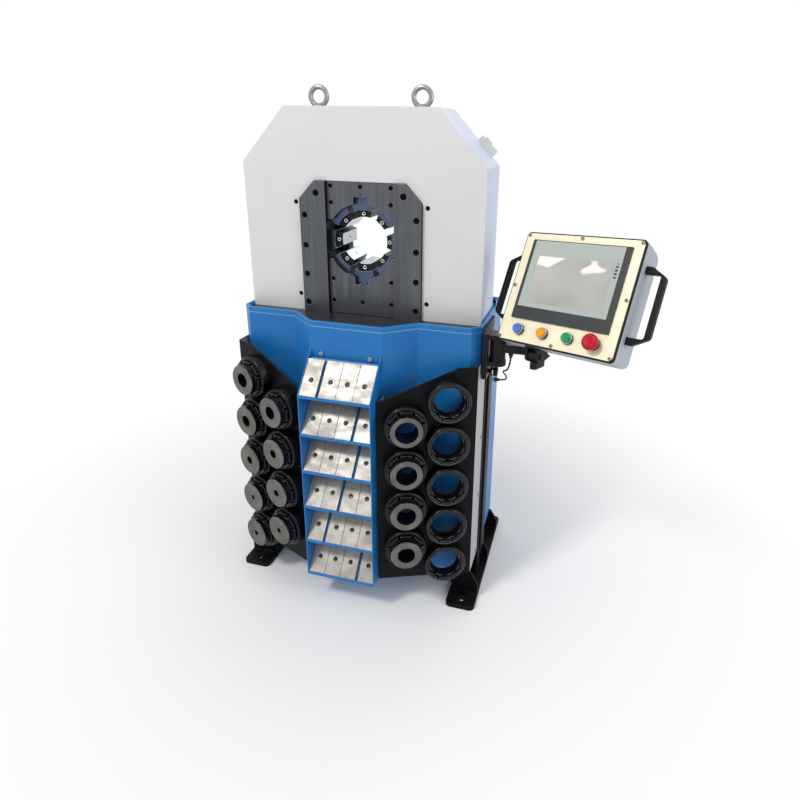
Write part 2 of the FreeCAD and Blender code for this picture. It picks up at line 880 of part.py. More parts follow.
def make_insert():
    """Top die insert, with its screw on the front and the hole in its bright inner face."""
    side = die_gap / 2 + insert_side_step
    y0 = head_front + insert_front
    y1 = y0 + insert_length
    outer = insert_seat_radius - seat_gap
    inner_end = gap_point(high_gap, side, opening_radius - insert_seat_radius / 2)
    outer_end = gap_point(high_gap, side, insert_seat_radius + insert_length / 2)
    wedge = front_profile([(x, z + bore_z) for x, z in symmetric([inner_end, outer_end])], y0, y1)
    body = wedge.common(tube(outer, opening_radius, Vector(0, y0, bore_z), Vector(0, y1, bore_z)))
    middle = (y0 + y1) / 2
    body = body.cut(rod(insert_hole_radius, Vector(0, middle, bore_z + opening_radius - 2 * past),
                        Vector(0, middle, bore_z + opening_radius + insert_hole_depth)))
    reach = bore_z + insert_screw_reach
    return [body, rod(insert_screw_radius, Vector(0, y0 - insert_screw_proud, reach), Vector(0, y0, reach))]


def turned(shape, degrees):
    """Turn a top die piece about the bore to its place, clockwise from the front."""
    return shape.rotated(Vector(0, 0, bore_z), Vector(0, 1, 0), degrees)


def write_dies():
    top, diagonal, side = end_die(), diagonal_die(), side_die()
    blanks = {
        "top": (top, 0), "top_right": (diagonal, 45), "right": (side, 90),
        "bottom_right": (upside_down(diagonal), 135), "bottom": (upside_down(top), 180),
        "bottom_left": (across(upside_down(diagonal)), 225), "left": (across(side), 270),
        "top_left": (across(diagonal), 315),
    }
    insert = make_insert()
    for place, (blank, degrees) in blanks.items():
        write("master_die_" + place, [blank])
        write("die_insert_" + place, [turned(piece, degrees) for piece in insert])


# Hydraulics

def make_rod():
    top = tray_level + slide_bottom
    bottom = tray_level + frame_bottom - cylinder_length + cylinder_end + piston_rest
    piston_top = bottom + piston_height
    piston = rod(piston_radius, Vector(0, bore_y, bottom), Vector(0, bore_y, piston_top))
    return fuse([piston, rod(rod_radius, Vector(0, bore_y, bottom), Vector(0, bore_y, top))])


def make_cylinder():
    top = tray_level + frame_bottom
    bottom = top - cylinder_length

    def along(radius, z0, z1):
        return rod(radius, Vector(0, bore_y, z0), Vector(0, bore_y, z1))

    flange = along(cylinder_flange_radius, top - cylinder_flange, top)
    body = fuse([along(cylinder_radius, bottom, top), flange])
    body = body.cut(along(piston_radius + running_gap, bottom + cylinder_end, top - gland_length))
    return body.cut(along(rod_radius + running_gap, top - gland_length - past, top + past))


def tank_top():
    return cabinet_bottom + cabinet_sheet + tank_height


def make_tank():
    z0 = cabinet_bottom + cabinet_sheet
    tank = box(-tank_half, tank_half, tank_front, tank_rear, z0, tank_top())
    inside = box(-tank_half + tank_sheet, tank_half - tank_sheet, tank_front + tank_sheet,
                 tank_rear - tank_sheet, z0 + tank_sheet, tank_top() - tank_sheet)
    hole = rod(pump_radius + pump_gap, Vector(motor_x, bore_y, tank_top() - 2 * tank_sheet),
               Vector(motor_x, bore_y, tank_top() + past))
    return tank.cut(inside).cut(hole)


def make_motor_pump():
    """Upright finned motor on the tank's lid, with the pump hanging in the tank."""
    z0 = tank_top()

    def along(radius, low, high):
        return rod(radius, Vector(motor_x, bore_y, z0 + low), Vector(motor_x, bore_y, z0 + high))

    motor = [along(motor_flange_radius, 0, motor_flange), along(motor_radius, motor_flange, motor_height)]
    for step in range(motor_fin_count):
        fin = box(-motor_fin_width / 2, motor_fin_width / 2, motor_radius - motor_fin_root,
                  motor_radius + motor_fin_height, z0 + motor_flange, z0 + motor_height - motor_fin_gap)
        fin = fin.rotated(Vector(0, 0, 0), Vector(0, 0, 1), step * 360 / motor_fin_count)
        motor.append(fin.translated(Vector(motor_x, bore_y, 0)))
    return [fuse(motor), along(pump_radius, -pump_height, 0)]


def pipe(points, radius, bend):
    """Round tube along straight runs joined by arcs of one radius."""
    edges = []
    start = points[0]
    for before, corner, after in zip(points, points[1:], points[2:]):
        back = (before - corner).normalize()
        on = (after - corner).normalize()
        half = back.getAngle(on) / 2
        reach = bend / math.tan(half)
        first, last = corner + back * reach, corner + on * reach
        middle = corner + (back + on).normalize() * (bend / math.sin(half) - bend)
        edges.append(Part.makeLine(start, first))
        edges.append(Part.Arc(first, middle, last).toShape())
        start = last
    edges.append(Part.makeLine(start, points[-1]))
    return sweep(edges, radius, points[1] - points[0])


def sweep(edges, radius, direction):
    circle = Part.Wire(Part.makeCircle(radius, edges[0].Vertexes[0].Point, direction))
    return Part.Wire(edges).makePipeShell([circle], True, False)


def make_valve_block():
    z0 = tank_top()
    half = valve_width / 2
    block = box(valve_x - half, valve_x + half, bore_y - half, bore_y + half, z0, z0 + valve_height)
    solenoid_z = z0 + valve_height / 2
    solenoid = rod(solenoid_radius, Vector(valve_x, bore_y - half, solenoid_z),
                   Vector(valve_x, bore_y - half - solenoid_length, solenoid_z))
    rise = Vector(valve_x, bore_y, z0 + valve_height + pipe_rise)
    line = pipe([Vector(valve_x, bore_y, z0 + valve_height), rise, Vector(-cylinder_radius, bore_y, rise.z)],
                pipe_radius, pipe_bend)
    return [block, solenoid, line]


# Block rack

def rack_back():
    return nose_front - rack_sheet


def slope_up(y, z, run):
    """A point up a shelf's slope from (y, z), after the given level run."""
    return (y + run, z + run * math.tan(math.radians(shelf_angle)))


def make_block_rack():
    walls = [(rack_front, rack_bottom), (rack_front, lip_top),
             slope_up(rack_front, lip_top, nose_front - rack_front), (nose_front, rack_bottom)]
    wall = side_profile(walls, rack_half - rack_sheet, rack_half)
    back = box(-rack_half, rack_half, rack_back(), nose_front, rack_bottom, back_top)
    shelves = []
    for row in range(shelf_count):
        z = lip_top - row * lip_pitch
        sheet = rack_sheet / math.cos(math.radians(shelf_angle))
        run = rack_back() - shelf_back_gap - rack_front
        low = (lip_drop + sheet - lip_height) / math.tan(math.radians(shelf_angle))
        high = (lip_drop + rack_sheet - lip_height) / math.tan(math.radians(shelf_angle))
        shelf = [(rack_front, z), (rack_front, z - lip_height), (rack_front + low, z - lip_height),
                 slope_up(rack_front, z - lip_drop - sheet, run), slope_up(rack_front, z - lip_drop, run),
                 (rack_front + high, z - lip_height + rack_sheet),
                 (rack_front + rack_sheet, z - lip_height + rack_sheet), (rack_front + rack_sheet, z)]
        shelves.append(side_profile(shelf, -rack_half, rack_half))
    floor = box(-rack_half, rack_half, rack_front, nose_front, rack_bottom, rack_bottom + rack_sheet)
    return fuse(both(wall) + [back, floor] + shelves)


def block_places(wide_after):
    """Left edges of a shelf's four blocks, with one wide gap."""
    inner = rack_half - rack_sheet
    wide = 2 * inner - 4 * block_width - 4 * block_gap
    x = -inner + block_gap
    places = []
    for number in range(1, 5):
        places.append(x)
        x += block_width + (wide if number == wide_after else block_gap)
    return places


def make_blocks():
    angle = math.radians(shelf_angle)
    blocks = []
    for row, wide_after in enumerate(wide_gap_after):
        y = rack_front + rack_sheet + block_lip_gap + block_thickness * math.sin(angle)
        z = slope_up(rack_front, lip_top - row * lip_pitch - lip_drop, y - rack_front)[1]
        for x in block_places(wide_after):
            block = box(0, block_width, 0, block_length, 0, block_thickness)
            hole = rod(block_hole_radius, Vector(block_width / 2, block_hole_place, -1),
                       Vector(block_width / 2, block_hole_place, block_thickness + past))
            block = block.cut(hole)
            block.Placement = Placement(Vector(x, y, z), Rotation(Vector(1, 0, 0), shelf_angle))
            blocks.append(block)
    return blocks


def rack_bolts():
    return [rod(rack_bolt_radius, Vector(x, rack_back() - rack_bolt_height, rack_bolt_z),
                Vector(x, rack_back(), rack_bolt_z)) for x in (-rack_bolt_x, rack_bolt_x)]


# Die racks

def panel_direction():
    run = Vector(panel_outer_x - panel_inner_x, panel_outer_y - panel_inner_y, 0)
    return run.normalize()


def panel_point(along, z):
    return Vector(panel_inner_x, panel_inner_y, z) + panel_direction() * along


def panel_normal():
    run = panel_direction()
    return Vector(run.y, -run.x, 0)


def folded(path, thickness):
    """Outline of a sheet bent along a path of (x, y) points, its thickness to the path's left."""
    points = [Vector(x, y, 0) for x, y in path]
    turns = [(b - a).normalize() for a, b in zip(points, points[1:])]
    lefts = [Vector(-turn.y, turn.x, 0) for turn in turns]
    inner = [points[0] + lefts[0] * thickness]
    for point, before, after in zip(points[1:], lefts, lefts[1:]):
        inner.append(point + (before + after) * (thickness / (1 + before.dot(after))))
    inner.append(points[-1] + lefts[-1] * thickness)
    return path + [(point.x, point.y) for point in reversed(inner)]


def make_die_rack():
    """Right die rack: a folded panel with a sloping top and a hole behind each die."""
    path = [(panel_inner_x, nose_front), (panel_inner_x, panel_inner_y), (panel_outer_x, panel_outer_y),
            (panel_outer_x, panel_flange_rear)]
    rack = plan_profile(folded(path, panel_sheet), panel_bottom, panel_top_outer)
    above = front_profile([(panel_inner_x - past, panel_top_inner), (panel_inner_x, panel_top_inner),
                           (panel_level_x, panel_top_outer), (panel_inner_x - past, panel_top_outer + past)],
                          panel_inner_y - ring_length, panel_flange_rear)
    through = panel_normal() * ring_length
    holes = [rod(panel_hole, point - through, point + through)
             for point in outer_places() + inner_places()]
    return cut_all(rack.cut(above), holes)


def outer_places():
    return [panel_point(outer_column, outer_first - die_pitch * row) for row in range(outer_count)]


def inner_places():
    return [panel_point(inner_column, inner_first - die_pitch * row) for row in range(inner_count)]


def on_rack(shape, point):
    placed = shape.copy()
    placed.Placement = Placement(point, Rotation(Vector(0, 0, 1), panel_normal()))
    return placed


def notched_ring():
    ring = tube(ring_radius, ring_bore, Vector(0, 0, 0), Vector(0, 0, ring_length))
    notch = box(ring_bore - past, ring_bore + notch_reach, -notch_width / 2, notch_width / 2,
                ring_length - notch_depth, ring_length + past)
    notches = [notch.rotated(Vector(0, 0, 0), Vector(0, 0, 1), (step + 0.5) * 360 / notch_count)
               for step in range(notch_count)]
    return cut_all(ring, notches)


def write_die_sets():
    ring = notched_ring()
    places = outer_places() + inner_places()
    rings = [on_rack(ring, point) for point in places]
    rings += [across(on_rack(ring, point)) for point in places]

    def segment(bore, point):
        tail = tube(ring_bore - segment_fit, bore, Vector(0, 0, 0), Vector(0, 0, ring_length))
        head = tube(segment_radius, bore, Vector(0, 0, ring_length), Vector(0, 0, segment_length))
        return on_rack(fuse([tail, head]), point)

    segments = [segment(bore, point) for bore, point in zip(right_inner_bores, inner_places())]
    left_bores = left_outer_bores + left_inner_bores
    segments += [across(segment(bore, point)) for bore, point in zip(left_bores, places)]
    write("die_rings", rings)
    write("die_segments", segments)


def rack_screws():
    screws = [rod(cover_screw, Vector(panel_outer_x, rack_screw_y, z),
                  Vector(panel_outer_x + cover_screw_height, rack_screw_y, z)) for z in rack_screw_heights]
    return screws + [across(screw) for screw in screws]


# Control panel, drawn with x to its right, y into its depth and z up its face

panel_turn = (Rotation(Vector(0, 0, 1), box_yaw) * Rotation(Vector(1, 0, 0), -box_tilt)
              * Rotation(Vector(0, 1, 0), -box_roll))
panel_place = Placement(Vector(box_x, box_y, box_z), panel_turn)


def on_panel(shape):
    placed = shape.copy()
    placed.Placement = panel_place.multiply(placed.Placement)
    return placed


def rounded_slab(half_width, half_height, corner, y0, y1):
    slab = box(-half_width, half_width, y0, y1, -half_height, half_height)
    corners = [edge for edge in slab.Edges
               if abs(edge.Vertexes[0].Y - edge.Vertexes[-1].Y) > 0.5 * (y1 - y0)]
    return slab.makeFillet(corner, corners)


def box_form(inset, corner):
    """The control box's outside, or its inside when drawn in by the sheet's thickness."""
    y0 = front_sheet + gasket_thickness
    y1 = box_depth - inset
    half_height = box_half_height - inset
    half_width = box_half_width - inset
    slab = rounded_slab(half_width, half_height, corner, y0 - (1 if inset else 0), y1)
    profile = side_profile([(y0 - 2, -half_height), (y1, -half_height), (y1, half_height - box_top_draft),
                            (y0 - 2, half_height)], -half_width - past, half_width + past)
    rear = [edge for edge in profile.Edges if all(abs(v.Y - y1) < 0.01 for v in edge.Vertexes)
            and abs(edge.Vertexes[0].X - edge.Vertexes[-1].X) > half_width]
    return slab.common(profile.makeFillet(box_round, rear))


def make_control_box():
    return box_form(0, front_corner).cut(box_form(box_sheet, front_corner - box_sheet))


def make_gasket():
    y0, y1 = front_sheet, front_sheet + gasket_thickness
    outer = rounded_slab(box_half_width, box_half_height, front_corner, y0, y1)
    inner = rounded_slab(box_half_width - gasket_lap, box_half_height - gasket_lap, front_corner / 2,
                         y0 - past, y1 + past)
    return outer.cut(inner)


def panel_rod(radius, x, z, y0, y1):
    return rod(radius, Vector(x, y0, z), Vector(x, y1, z))


def make_front_panel():
    front = rounded_slab(box_half_width - gasket_border, box_half_height - gasket_border,
                         front_corner - gasket_border / 2, 0, front_sheet)
    holes = [panel_rod(button_radius + button_clearance, x, button_level, -past, front_sheet + past)
             for x in button_places]
    stop_hole = stop_stem_radius + button_clearance
    holes.append(panel_rod(stop_hole, stop_place, button_level, -past, front_sheet + past))
    return cut_all(front, holes)


def make_touch_screen():
    """Bezel, film and display."""
    face = -screen_proud
    bezel = box(screen_left, screen_right, face, 0, screen_bottom, screen_top)
    bed = face + film_thickness
    bezel = bezel.cut(box(film_left, film_right, face - past, bed, film_bottom, film_top))
    display = box(display_left, display_right, face + display_recess, bed, display_bottom, display_top)
    film = box(film_left, film_right, face, bed, film_bottom, film_top)
    film = film.cut(box(display_left, display_right, face - past, bed + past, display_bottom, display_top))
    return [bezel, film, display]


def make_button(x):
    cap = panel_rod(button_radius, x, button_level, -button_proud, button_depth)
    crown = [edge for edge in cap.Edges if abs(edge.Vertexes[0].Y + button_proud) < 0.01
             and abs(edge.Vertexes[-1].Y + button_proud) < 0.01]
    return cap.makeFillet(button_crown, crown)


def make_button_rings():
    rings = [panel_rod(button_ring_radius, x, button_level, -button_ring_height, 0).cut(
        panel_rod(button_radius + button_clearance, x, button_level, -button_ring_height - past, past))
        for x in button_places]
    rings.append(panel_rod(stop_ring_radius, stop_place, button_level, -button_ring_height, 0).cut(
        panel_rod(stop_stem_radius + button_clearance, stop_place, button_level,
                  -button_ring_height - past, past)))
    return rings


def make_stop_button():
    head = panel_rod(stop_radius, stop_place, button_level, -stop_proud, -stop_proud + stop_head)
    crown = [edge for edge in head.Edges if abs(edge.Vertexes[0].Y + stop_proud) < 0.01
             and abs(edge.Vertexes[-1].Y + stop_proud) < 0.01]
    head = head.makeFillet(stop_crown, crown)
    return fuse([head, panel_rod(stop_stem_radius, stop_place, button_level, -stop_proud + stop_head - past,
                                 button_depth)])


def make_panel_screws():
    places = [(x, z) for x in (-panel_screw_x, 0, panel_screw_x) for z in (-panel_screw_z, panel_screw_z)]
    places += [(-panel_screw_x, 0), (panel_screw_x, 0)]
    return [panel_rod(panel_screw_radius, x, z, -panel_screw_height, 0) for x, z in places]


def make_handle():
    """Right bridge handle on the box's side wall, its legs narrowing towards the bar."""
    wall = box_half_width
    shoulder, out = wall + handle_foot, wall + handle_reach
    grip = out - handle_bar
    upper = [(wall, handle_grip_half), (wall, handle_foot_half), (shoulder, handle_foot_half),
             (out, handle_bar_half)]
    lower = [(x, -z) for x, z in reversed(upper)]
    front, rear = handle_depth - handle_thickness / 2, handle_depth + handle_thickness / 2
    outline = upper + lower + [(grip, -handle_grip_half), (grip, handle_grip_half)]
    bow = front_profile(outline, front, rear)
    for x, radius in ((shoulder, handle_outer_round), (out, handle_outer_round), (grip, handle_inner_round)):
        corners = [edge for edge in bow.Edges if all(abs(v.X - x) < 0.01 for v in edge.Vertexes)
                   and abs(edge.Vertexes[0].Y - edge.Vertexes[-1].Y) > handle_edge_round]
        bow = bow.makeFillet(radius, corners)
    rims = [edge for edge in bow.Edges if abs(edge.Vertexes[0].Y - edge.Vertexes[-1].Y) < 0.01
            and max(v.X for v in edge.Vertexes) > wall + 0.01]
    return bow.makeFillet(handle_edge_round, rims)


# Arm

def tilt_point():
    return panel_place.multVec(Vector(tilt_x, tilt_depth, tilt_level))


def panel_right():
    return panel_turn.multVec(Vector(1, 0, 0))


def lug(z0, z1, hole):
    """Flat ear from the bracket's plate, rounded about the pivot."""
    plate = upright_outer + bracket_thickness
    body = box(plate - past, pivot_x, pivot_y - lug_radius, pivot_y + lug_radius, z0, z1)
    end = rod(lug_radius, Vector(pivot_x, pivot_y, z0), Vector(pivot_x, pivot_y, z1))
    bore = rod(hole, Vector(pivot_x, pivot_y, z0 - past), Vector(pivot_x, pivot_y, z1 + past))
    return body.fuse(end).cut(bore)


def make_arm_bracket():
    """Plate on the cabinet's side with two ears and the pivot pin between them."""
    plate = box(upright_outer, upright_outer + bracket_thickness, bracket_front, bracket_rear,
                bracket_bottom, bracket_top)
    low = lug(hub_bottom - hub_gap - lug_thickness, hub_bottom - hub_gap, pivot_radius)
    high = lug(hub_top + hub_gap, hub_top + hub_gap + lug_thickness, pivot_radius)
    pin = rod(pivot_radius, Vector(pivot_x, pivot_y, hub_bottom - hub_gap - lug_thickness),
              Vector(pivot_x, pivot_y, hub_top + hub_gap + lug_thickness))
    return [fuse([plate, low, high]), pin]


def bar(start, end, half, z0, z1):
    """Level bar from start to end with a round corner at its end."""
    run = Vector(end.x - start.x, end.y - start.y, 0)
    angle = math.degrees(math.atan2(run.y, run.x))
    body = box(0, run.Length, -half, half, z0, z1).rotated(Vector(0, 0, 0), Vector(0, 0, 1), angle)
    return body.translated(Vector(start.x, start.y, 0)).fuse(
        rod(half, Vector(end.x, end.y, z0), Vector(end.x, end.y, z1)))


def make_swing_arm():
    """Hub on the pivot, bar to the elbow, neck to the lug on the tilt pin."""
    tilt = tilt_point()
    right = panel_right()
    behind = Vector(-right.y, right.x, 0).normalize()
    elbow = Vector(elbow_x, elbow_y, 0)
    bend = tilt + behind * neck_reach
    arm = fuse([rod(hub_radius, Vector(pivot_x, pivot_y, hub_bottom), Vector(pivot_x, pivot_y, hub_top)),
                bar(Vector(pivot_x, pivot_y, 0), elbow, arm_half_width, arm_bottom, arm_top),
                bar(elbow, bend, neck_half, arm_bottom, neck_top),
                bar(bend, tilt, neck_half, arm_bottom, neck_top),
                rod(tilt_lug_radius, tilt - right * tilt_half, tilt + right * tilt_half)])
    arm = arm.cut(rod(pivot_radius + running_gap, Vector(pivot_x, pivot_y, hub_bottom - past),
                      Vector(pivot_x, pivot_y, hub_top + past)))
    reach = right * (tilt_half + past)
    return arm.cut(rod(tilt_pin + running_gap, tilt - reach, tilt + reach))


def ear(low, high, tail):
    """Ear of the tilt bracket, round about the pin, with an optional curved tail to the box's back edge."""
    bottom = -box_half_height
    front, rear = tilt_depth - tilt_ear_radius, tilt_depth + tilt_ear_radius
    cheek = [(tilt_pad_front, bottom), (tilt_pad_rear, bottom), (rear, tilt_level), (front, tilt_level)]
    body = [rod(tilt_ear_radius, Vector(low, tilt_depth, tilt_level), Vector(high, tilt_depth, tilt_level)),
            side_profile(cheek, low, high)]
    if tail:
        curl = [(tilt_depth, tilt_level - tilt_ear_radius), (rear, tilt_level - tilt_ear_radius / 2),
                (tilt_tail_rear, bottom - tilt_pad), (tilt_pad_rear, bottom), (tilt_depth, bottom)]
        body.append(side_profile(curl, low, high))
    return fuse(body)


def make_tilt_bracket():
    """Pad on the box's underside with two ears that hold the tilt pin."""
    bottom = -box_half_height
    near = tilt_half + hub_gap
    span = near + tilt_ear
    pad = box(tilt_x - span, tilt_x + span, tilt_pad_front, tilt_pad_rear, bottom - tilt_pad, bottom)
    pin_half = span + tilt_pin_proud
    pin = rod(tilt_pin, Vector(tilt_x - pin_half, tilt_depth, tilt_level),
              Vector(tilt_x + pin_half, tilt_depth, tilt_level))
    left = ear(tilt_x - span, tilt_x - near, False)
    right = ear(tilt_x + near, tilt_x + span, True)
    return fuse([pad, left, right, pin])


def make_knob():
    x = upright_outer + bracket_thickness
    stem = rod(knob_stem_radius, Vector(x, knob_y, knob_level),
               Vector(x + knob_stem + past, knob_y, knob_level))
    head = rod(knob_radius, Vector(x + knob_stem, knob_y, knob_level),
               Vector(x + knob_stem + knob_length, knob_y, knob_level))
    return fuse([stem, head])


def cord(route, radius):
    """Tube along straight runs joined by arcs as large as the runs allow; prints the arcs' radii."""
    points = [Vector(*point) for point in route]
    edges, radii = [], []
    start = points[0]
    for before, corner, after in zip(points, points[1:], points[2:]):
        back, on = before - corner, after - corner
        reach = 0.45 * min(back.Length, on.Length)
        half = back.getAngle(on) / 2
        bend = reach * math.tan(half)
        back, on = back.normalize(), on.normalize()
        first, last = corner + back * reach, corner + on * reach
        middle = corner + (back + on).normalize() * (bend / math.sin(half) - bend)
        edges.append(Part.makeLine(start, first))
        edges.append(Part.Arc(first, middle, last).toShape())
        radii.append(round(bend, 1))
        start = last
    edges.append(Part.makeLine(start, points[-1]))
    length = sum(edge.Length for edge in edges)
    print("cable: length", round(length, 1), "arc radii", radii)
    return sweep(edges, radius, points[1] - points[0])


def make_cable():
    return [cord(cable_route, cable_radius)]


def main():
    os.makedirs("parts", exist_ok=True)
    write("cabinet_shell", [make_cabinet()])
    write("rear_cover", [make_rear_cover()])
    write("tray_rim", [make_tray_rim()])
    write("tray_floor", [make_tray_floor()])
    foot = make_foot()
    write("right_foot", [foot])
    write("left_foot", [across(foot)])
    write("head_casing", [make_casing()])
    write("press_frame", [make_frame()])
    write("upper_beam", [make_upper_beam()])
    write("lower_slide", [make_lower_slide()])
    write("guide_rails", make_guides())
    write("upper_plates", make_upper_plates())
    write("lower_plates", make_lower_plates())
    write("slide_screws", make_slide_screws())
    write("frame_screws", make_frame_screws())
    write("eye_bolts", both(make_eye_bolt()))
    write("limit_switch", make_switch())
    write_dies()
    write("hydraulic_cylinder", [make_cylinder()])
    write("piston_rod", [make_rod()])
    write("oil_tank", [make_tank()])
    write("motor_pump", make_motor_pump())
    write("valve_block", make_valve_block())
    write("block_rack", [make_block_rack()])
    write("die_blocks", make_blocks())
    rack = make_die_rack()
    write("right_die_rack", [rack])
    write("left_die_rack", [across(rack)])
    write_die_sets()
    write("control_box", [on_panel(make_control_box())])
    write("panel_gasket", [on_panel(make_gasket())])
    write("front_panel", [on_panel(make_front_panel())])
    write("touch_screen", [on_panel(piece) for piece in make_touch_screen()])
    write("button_rings", [on_panel(piece) for piece in make_button_rings()])
    for colour, x in zip(("blue", "orange", "green"), button_places):
        write(colour + "_button", [on_panel(make_button(x))])
    write("stop_button", [on_panel(make_stop_button())])
    write("panel_screws", [on_panel(piece) for piece in make_panel_screws()])
    write("panel_handles", [on_panel(piece) for piece in both(make_handle())])
    write("tilt_bracket", [on_panel(make_tilt_bracket())])
    write("arm_bracket", make_arm_bracket())
    write("swing_arm", [make_swing_arm()])
    write("clamp_knob", [make_knob()])
    write("control_cable", make_cable())
    print("tilt pin", tilt_point(), "direction", panel_right())


main()
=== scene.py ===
from math import pi, radians

import bpy
from mathutils import Matrix, Vector


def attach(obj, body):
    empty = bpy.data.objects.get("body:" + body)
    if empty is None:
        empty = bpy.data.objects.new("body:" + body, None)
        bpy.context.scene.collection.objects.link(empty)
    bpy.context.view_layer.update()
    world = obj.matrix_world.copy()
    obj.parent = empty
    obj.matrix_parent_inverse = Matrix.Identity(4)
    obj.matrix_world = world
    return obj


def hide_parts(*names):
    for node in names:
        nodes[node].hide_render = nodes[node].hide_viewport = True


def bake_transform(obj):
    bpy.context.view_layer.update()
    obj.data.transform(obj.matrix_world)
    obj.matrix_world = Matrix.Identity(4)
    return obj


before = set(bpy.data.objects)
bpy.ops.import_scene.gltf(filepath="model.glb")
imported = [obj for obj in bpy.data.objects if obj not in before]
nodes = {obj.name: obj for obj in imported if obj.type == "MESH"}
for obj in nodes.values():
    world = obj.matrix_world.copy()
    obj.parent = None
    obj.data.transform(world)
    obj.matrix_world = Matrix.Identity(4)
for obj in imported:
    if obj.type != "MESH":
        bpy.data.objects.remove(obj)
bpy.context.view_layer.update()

scene = bpy.context.scene
scene.view_settings.view_transform = "Standard"
bpy.ops.object.select_all(action="DESELECT")


# camera, where the photograph was taken from
photoCamera = {
    "place": (0.63104, -1.66046, 1.37502),
    "turn": 14.72,          # degrees to the left of +Y
    "down": 19.0,
    "roll": 1.14,
    "lens": 26.909,
    "size": 800,                  # the photograph's pixels each way
    "middle": (436.36, 335.83),   # pixel that the lens looks at
}


def makeCamera():
    data = bpy.data.cameras.new("photoCamera")
    data.sensor_width = 36.0
    data.lens = photoCamera["lens"]
    data.clip_start = 0.05
    data.clip_end = 60.0
    size = photoCamera["size"]
    across, down = photoCamera["middle"]
    data.shift_x = (size / 2 - across) / size
    data.shift_y = (down - size / 2) / size
    camera = bpy.data.objects.new("photoCamera", data)
    scene.collection.objects.link(camera)
    turn = Matrix.Rotation(radians(photoCamera["turn"]), 4, "Z")
    tilt = Matrix.Rotation(radians(90 - photoCamera["down"]), 4, "X")
    roll = Matrix.Rotation(radians(photoCamera["roll"]), 4, "Z")
    camera.matrix_world = Matrix.Translation(photoCamera["place"]) @ turn @ tilt @ roll
    scene.camera = camera


makeCamera()
print("camera ready")


# modelling steps that several pieces share; a turned piece is drawn along +Z and then put in its place
modelling = {
    "sameSpot": 0.000005,     # points nearer than this are one point
    "sameFlat": 1.0,          # degrees between faces that become one face
    "smoothBelow": 32.0,      # degrees at an edge that is shaded smooth
    "past": 0.001,            # how far a cutter runs past what it cuts
}


def pickOnly(piece):
    bpy.ops.object.select_all(action="DESELECT")
    piece.select_set(True)
    bpy.context.view_layer.objects.active = piece


def mergePoints():
    bpy.ops.mesh.select_all(action="SELECT")
    bpy.ops.mesh.remove_doubles(threshold=modelling["sameSpot"])


def faceOutwards():
    bpy.ops.mesh.select_all(action="SELECT")
    bpy.ops.mesh.normals_make_consistent(inside=False)


def turnShape(name, profile, segments=48, bored=False):
    bpy.ops.object.select_all(action="DESELECT")
    radius, height = profile[0]
    filled = "NOTHING" if bored else "NGON"
    bpy.ops.mesh.primitive_circle_add(vertices=segments, radius=radius, fill_type=filled)
    piece = bpy.context.object
    piece.name = piece.data.name = name
    bpy.ops.object.mode_set(mode="EDIT")
    bpy.ops.mesh.select_all(action="SELECT")
    bpy.ops.transform.translate(value=(0.0, 0.0, height))
    for nextRadius, nextHeight in profile[1:] + (profile[:1] if bored else ()):
        move = {"value": (0.0, 0.0, nextHeight - height)}
        if bored:
            bpy.ops.mesh.extrude_edges_move(TRANSFORM_OT_translate=move)
        else:
            bpy.ops.mesh.extrude_region_move(TRANSFORM_OT_translate=move)
        wider = nextRadius / radius
        bpy.ops.transform.resize(value=(wider, wider, 1.0), center_override=(0.0, 0.0, nextHeight))
        radius, height = nextRadius, nextHeight
    mergePoints()
    faceOutwards()
    bpy.ops.object.mode_set(mode="OBJECT")
    return piece


def addBar(name, size, middle):
    bpy.ops.object.select_all(action="DESELECT")
    bpy.ops.mesh.primitive_cube_add(size=1.0)
    bar = bpy.context.object
    bar.name = bar.data.name = name
    bpy.ops.object.mode_set(mode="EDIT")
    bpy.ops.mesh.select_all(action="SELECT")
    bpy.ops.transform.resize(value=size, center_override=(0.0, 0.0, 0.0))
    bpy.ops.transform.translate(value=middle)
    bpy.ops.object.mode_set(mode="OBJECT")
    return bar


def copyPiece(piece, name, spot):
    twin = bpy.data.objects.new(name, piece.data.copy())
    scene.collection.objects.link(twin)
    twin.data.transform(spot)
    return twin


def joinPieces(pieces, name):
    bpy.ops.object.select_all(action="DESELECT")
    for piece in pieces:
        piece.select_set(True)
    bpy.context.view_layer.objects.active = pieces[0]
    bpy.ops.object.join()
    pieces[0].name = pieces[0].data.name = name
    return pieces[0]


def cutAway(piece, cutter):
    cut = piece.modifiers.new("cut", "BOOLEAN")
    cut.operation = "DIFFERENCE"
    cut.solver = "EXACT"
    cut.use_self = True
    cut.object = cutter
    pickOnly(piece)
    bpy.ops.object.modifier_apply(modifier=cut.name)
    bpy.data.objects.remove(cutter)


def pickFaces(piece, test):
    pickOnly(piece)
    bpy.ops.object.mode_set(mode="EDIT")
    bpy.ops.mesh.select_mode(type="FACE")
    bpy.ops.mesh.select_all(action="DESELECT")
    bpy.ops.object.mode_set(mode="OBJECT")
    for face in piece.data.polygons:
        face.select = test(face)
    bpy.ops.object.mode_set(mode="EDIT")


def roundTurns(count, start=0.0):
    return [Matrix.Rotation(start + step * 2 * pi / count, 4, "Z") for step in range(count)]


def smoothPiece(piece, degrees=modelling["smoothBelow"]):
    pickOnly(piece)
    bpy.ops.object.shade_smooth_by_angle(angle=radians(degrees))


def pointing(spot, way, upward=(0.0, 0.0, 1.0)):
    out = Vector(way).normalized()                 # local +Z along way, +Y as near upward as it goes
    side = Vector(upward).cross(out).normalized()
    up = out.cross(side)
    turn = Matrix((side, up, out)).transposed()
    return Matrix.Translation(spot) @ turn.to_4x4()


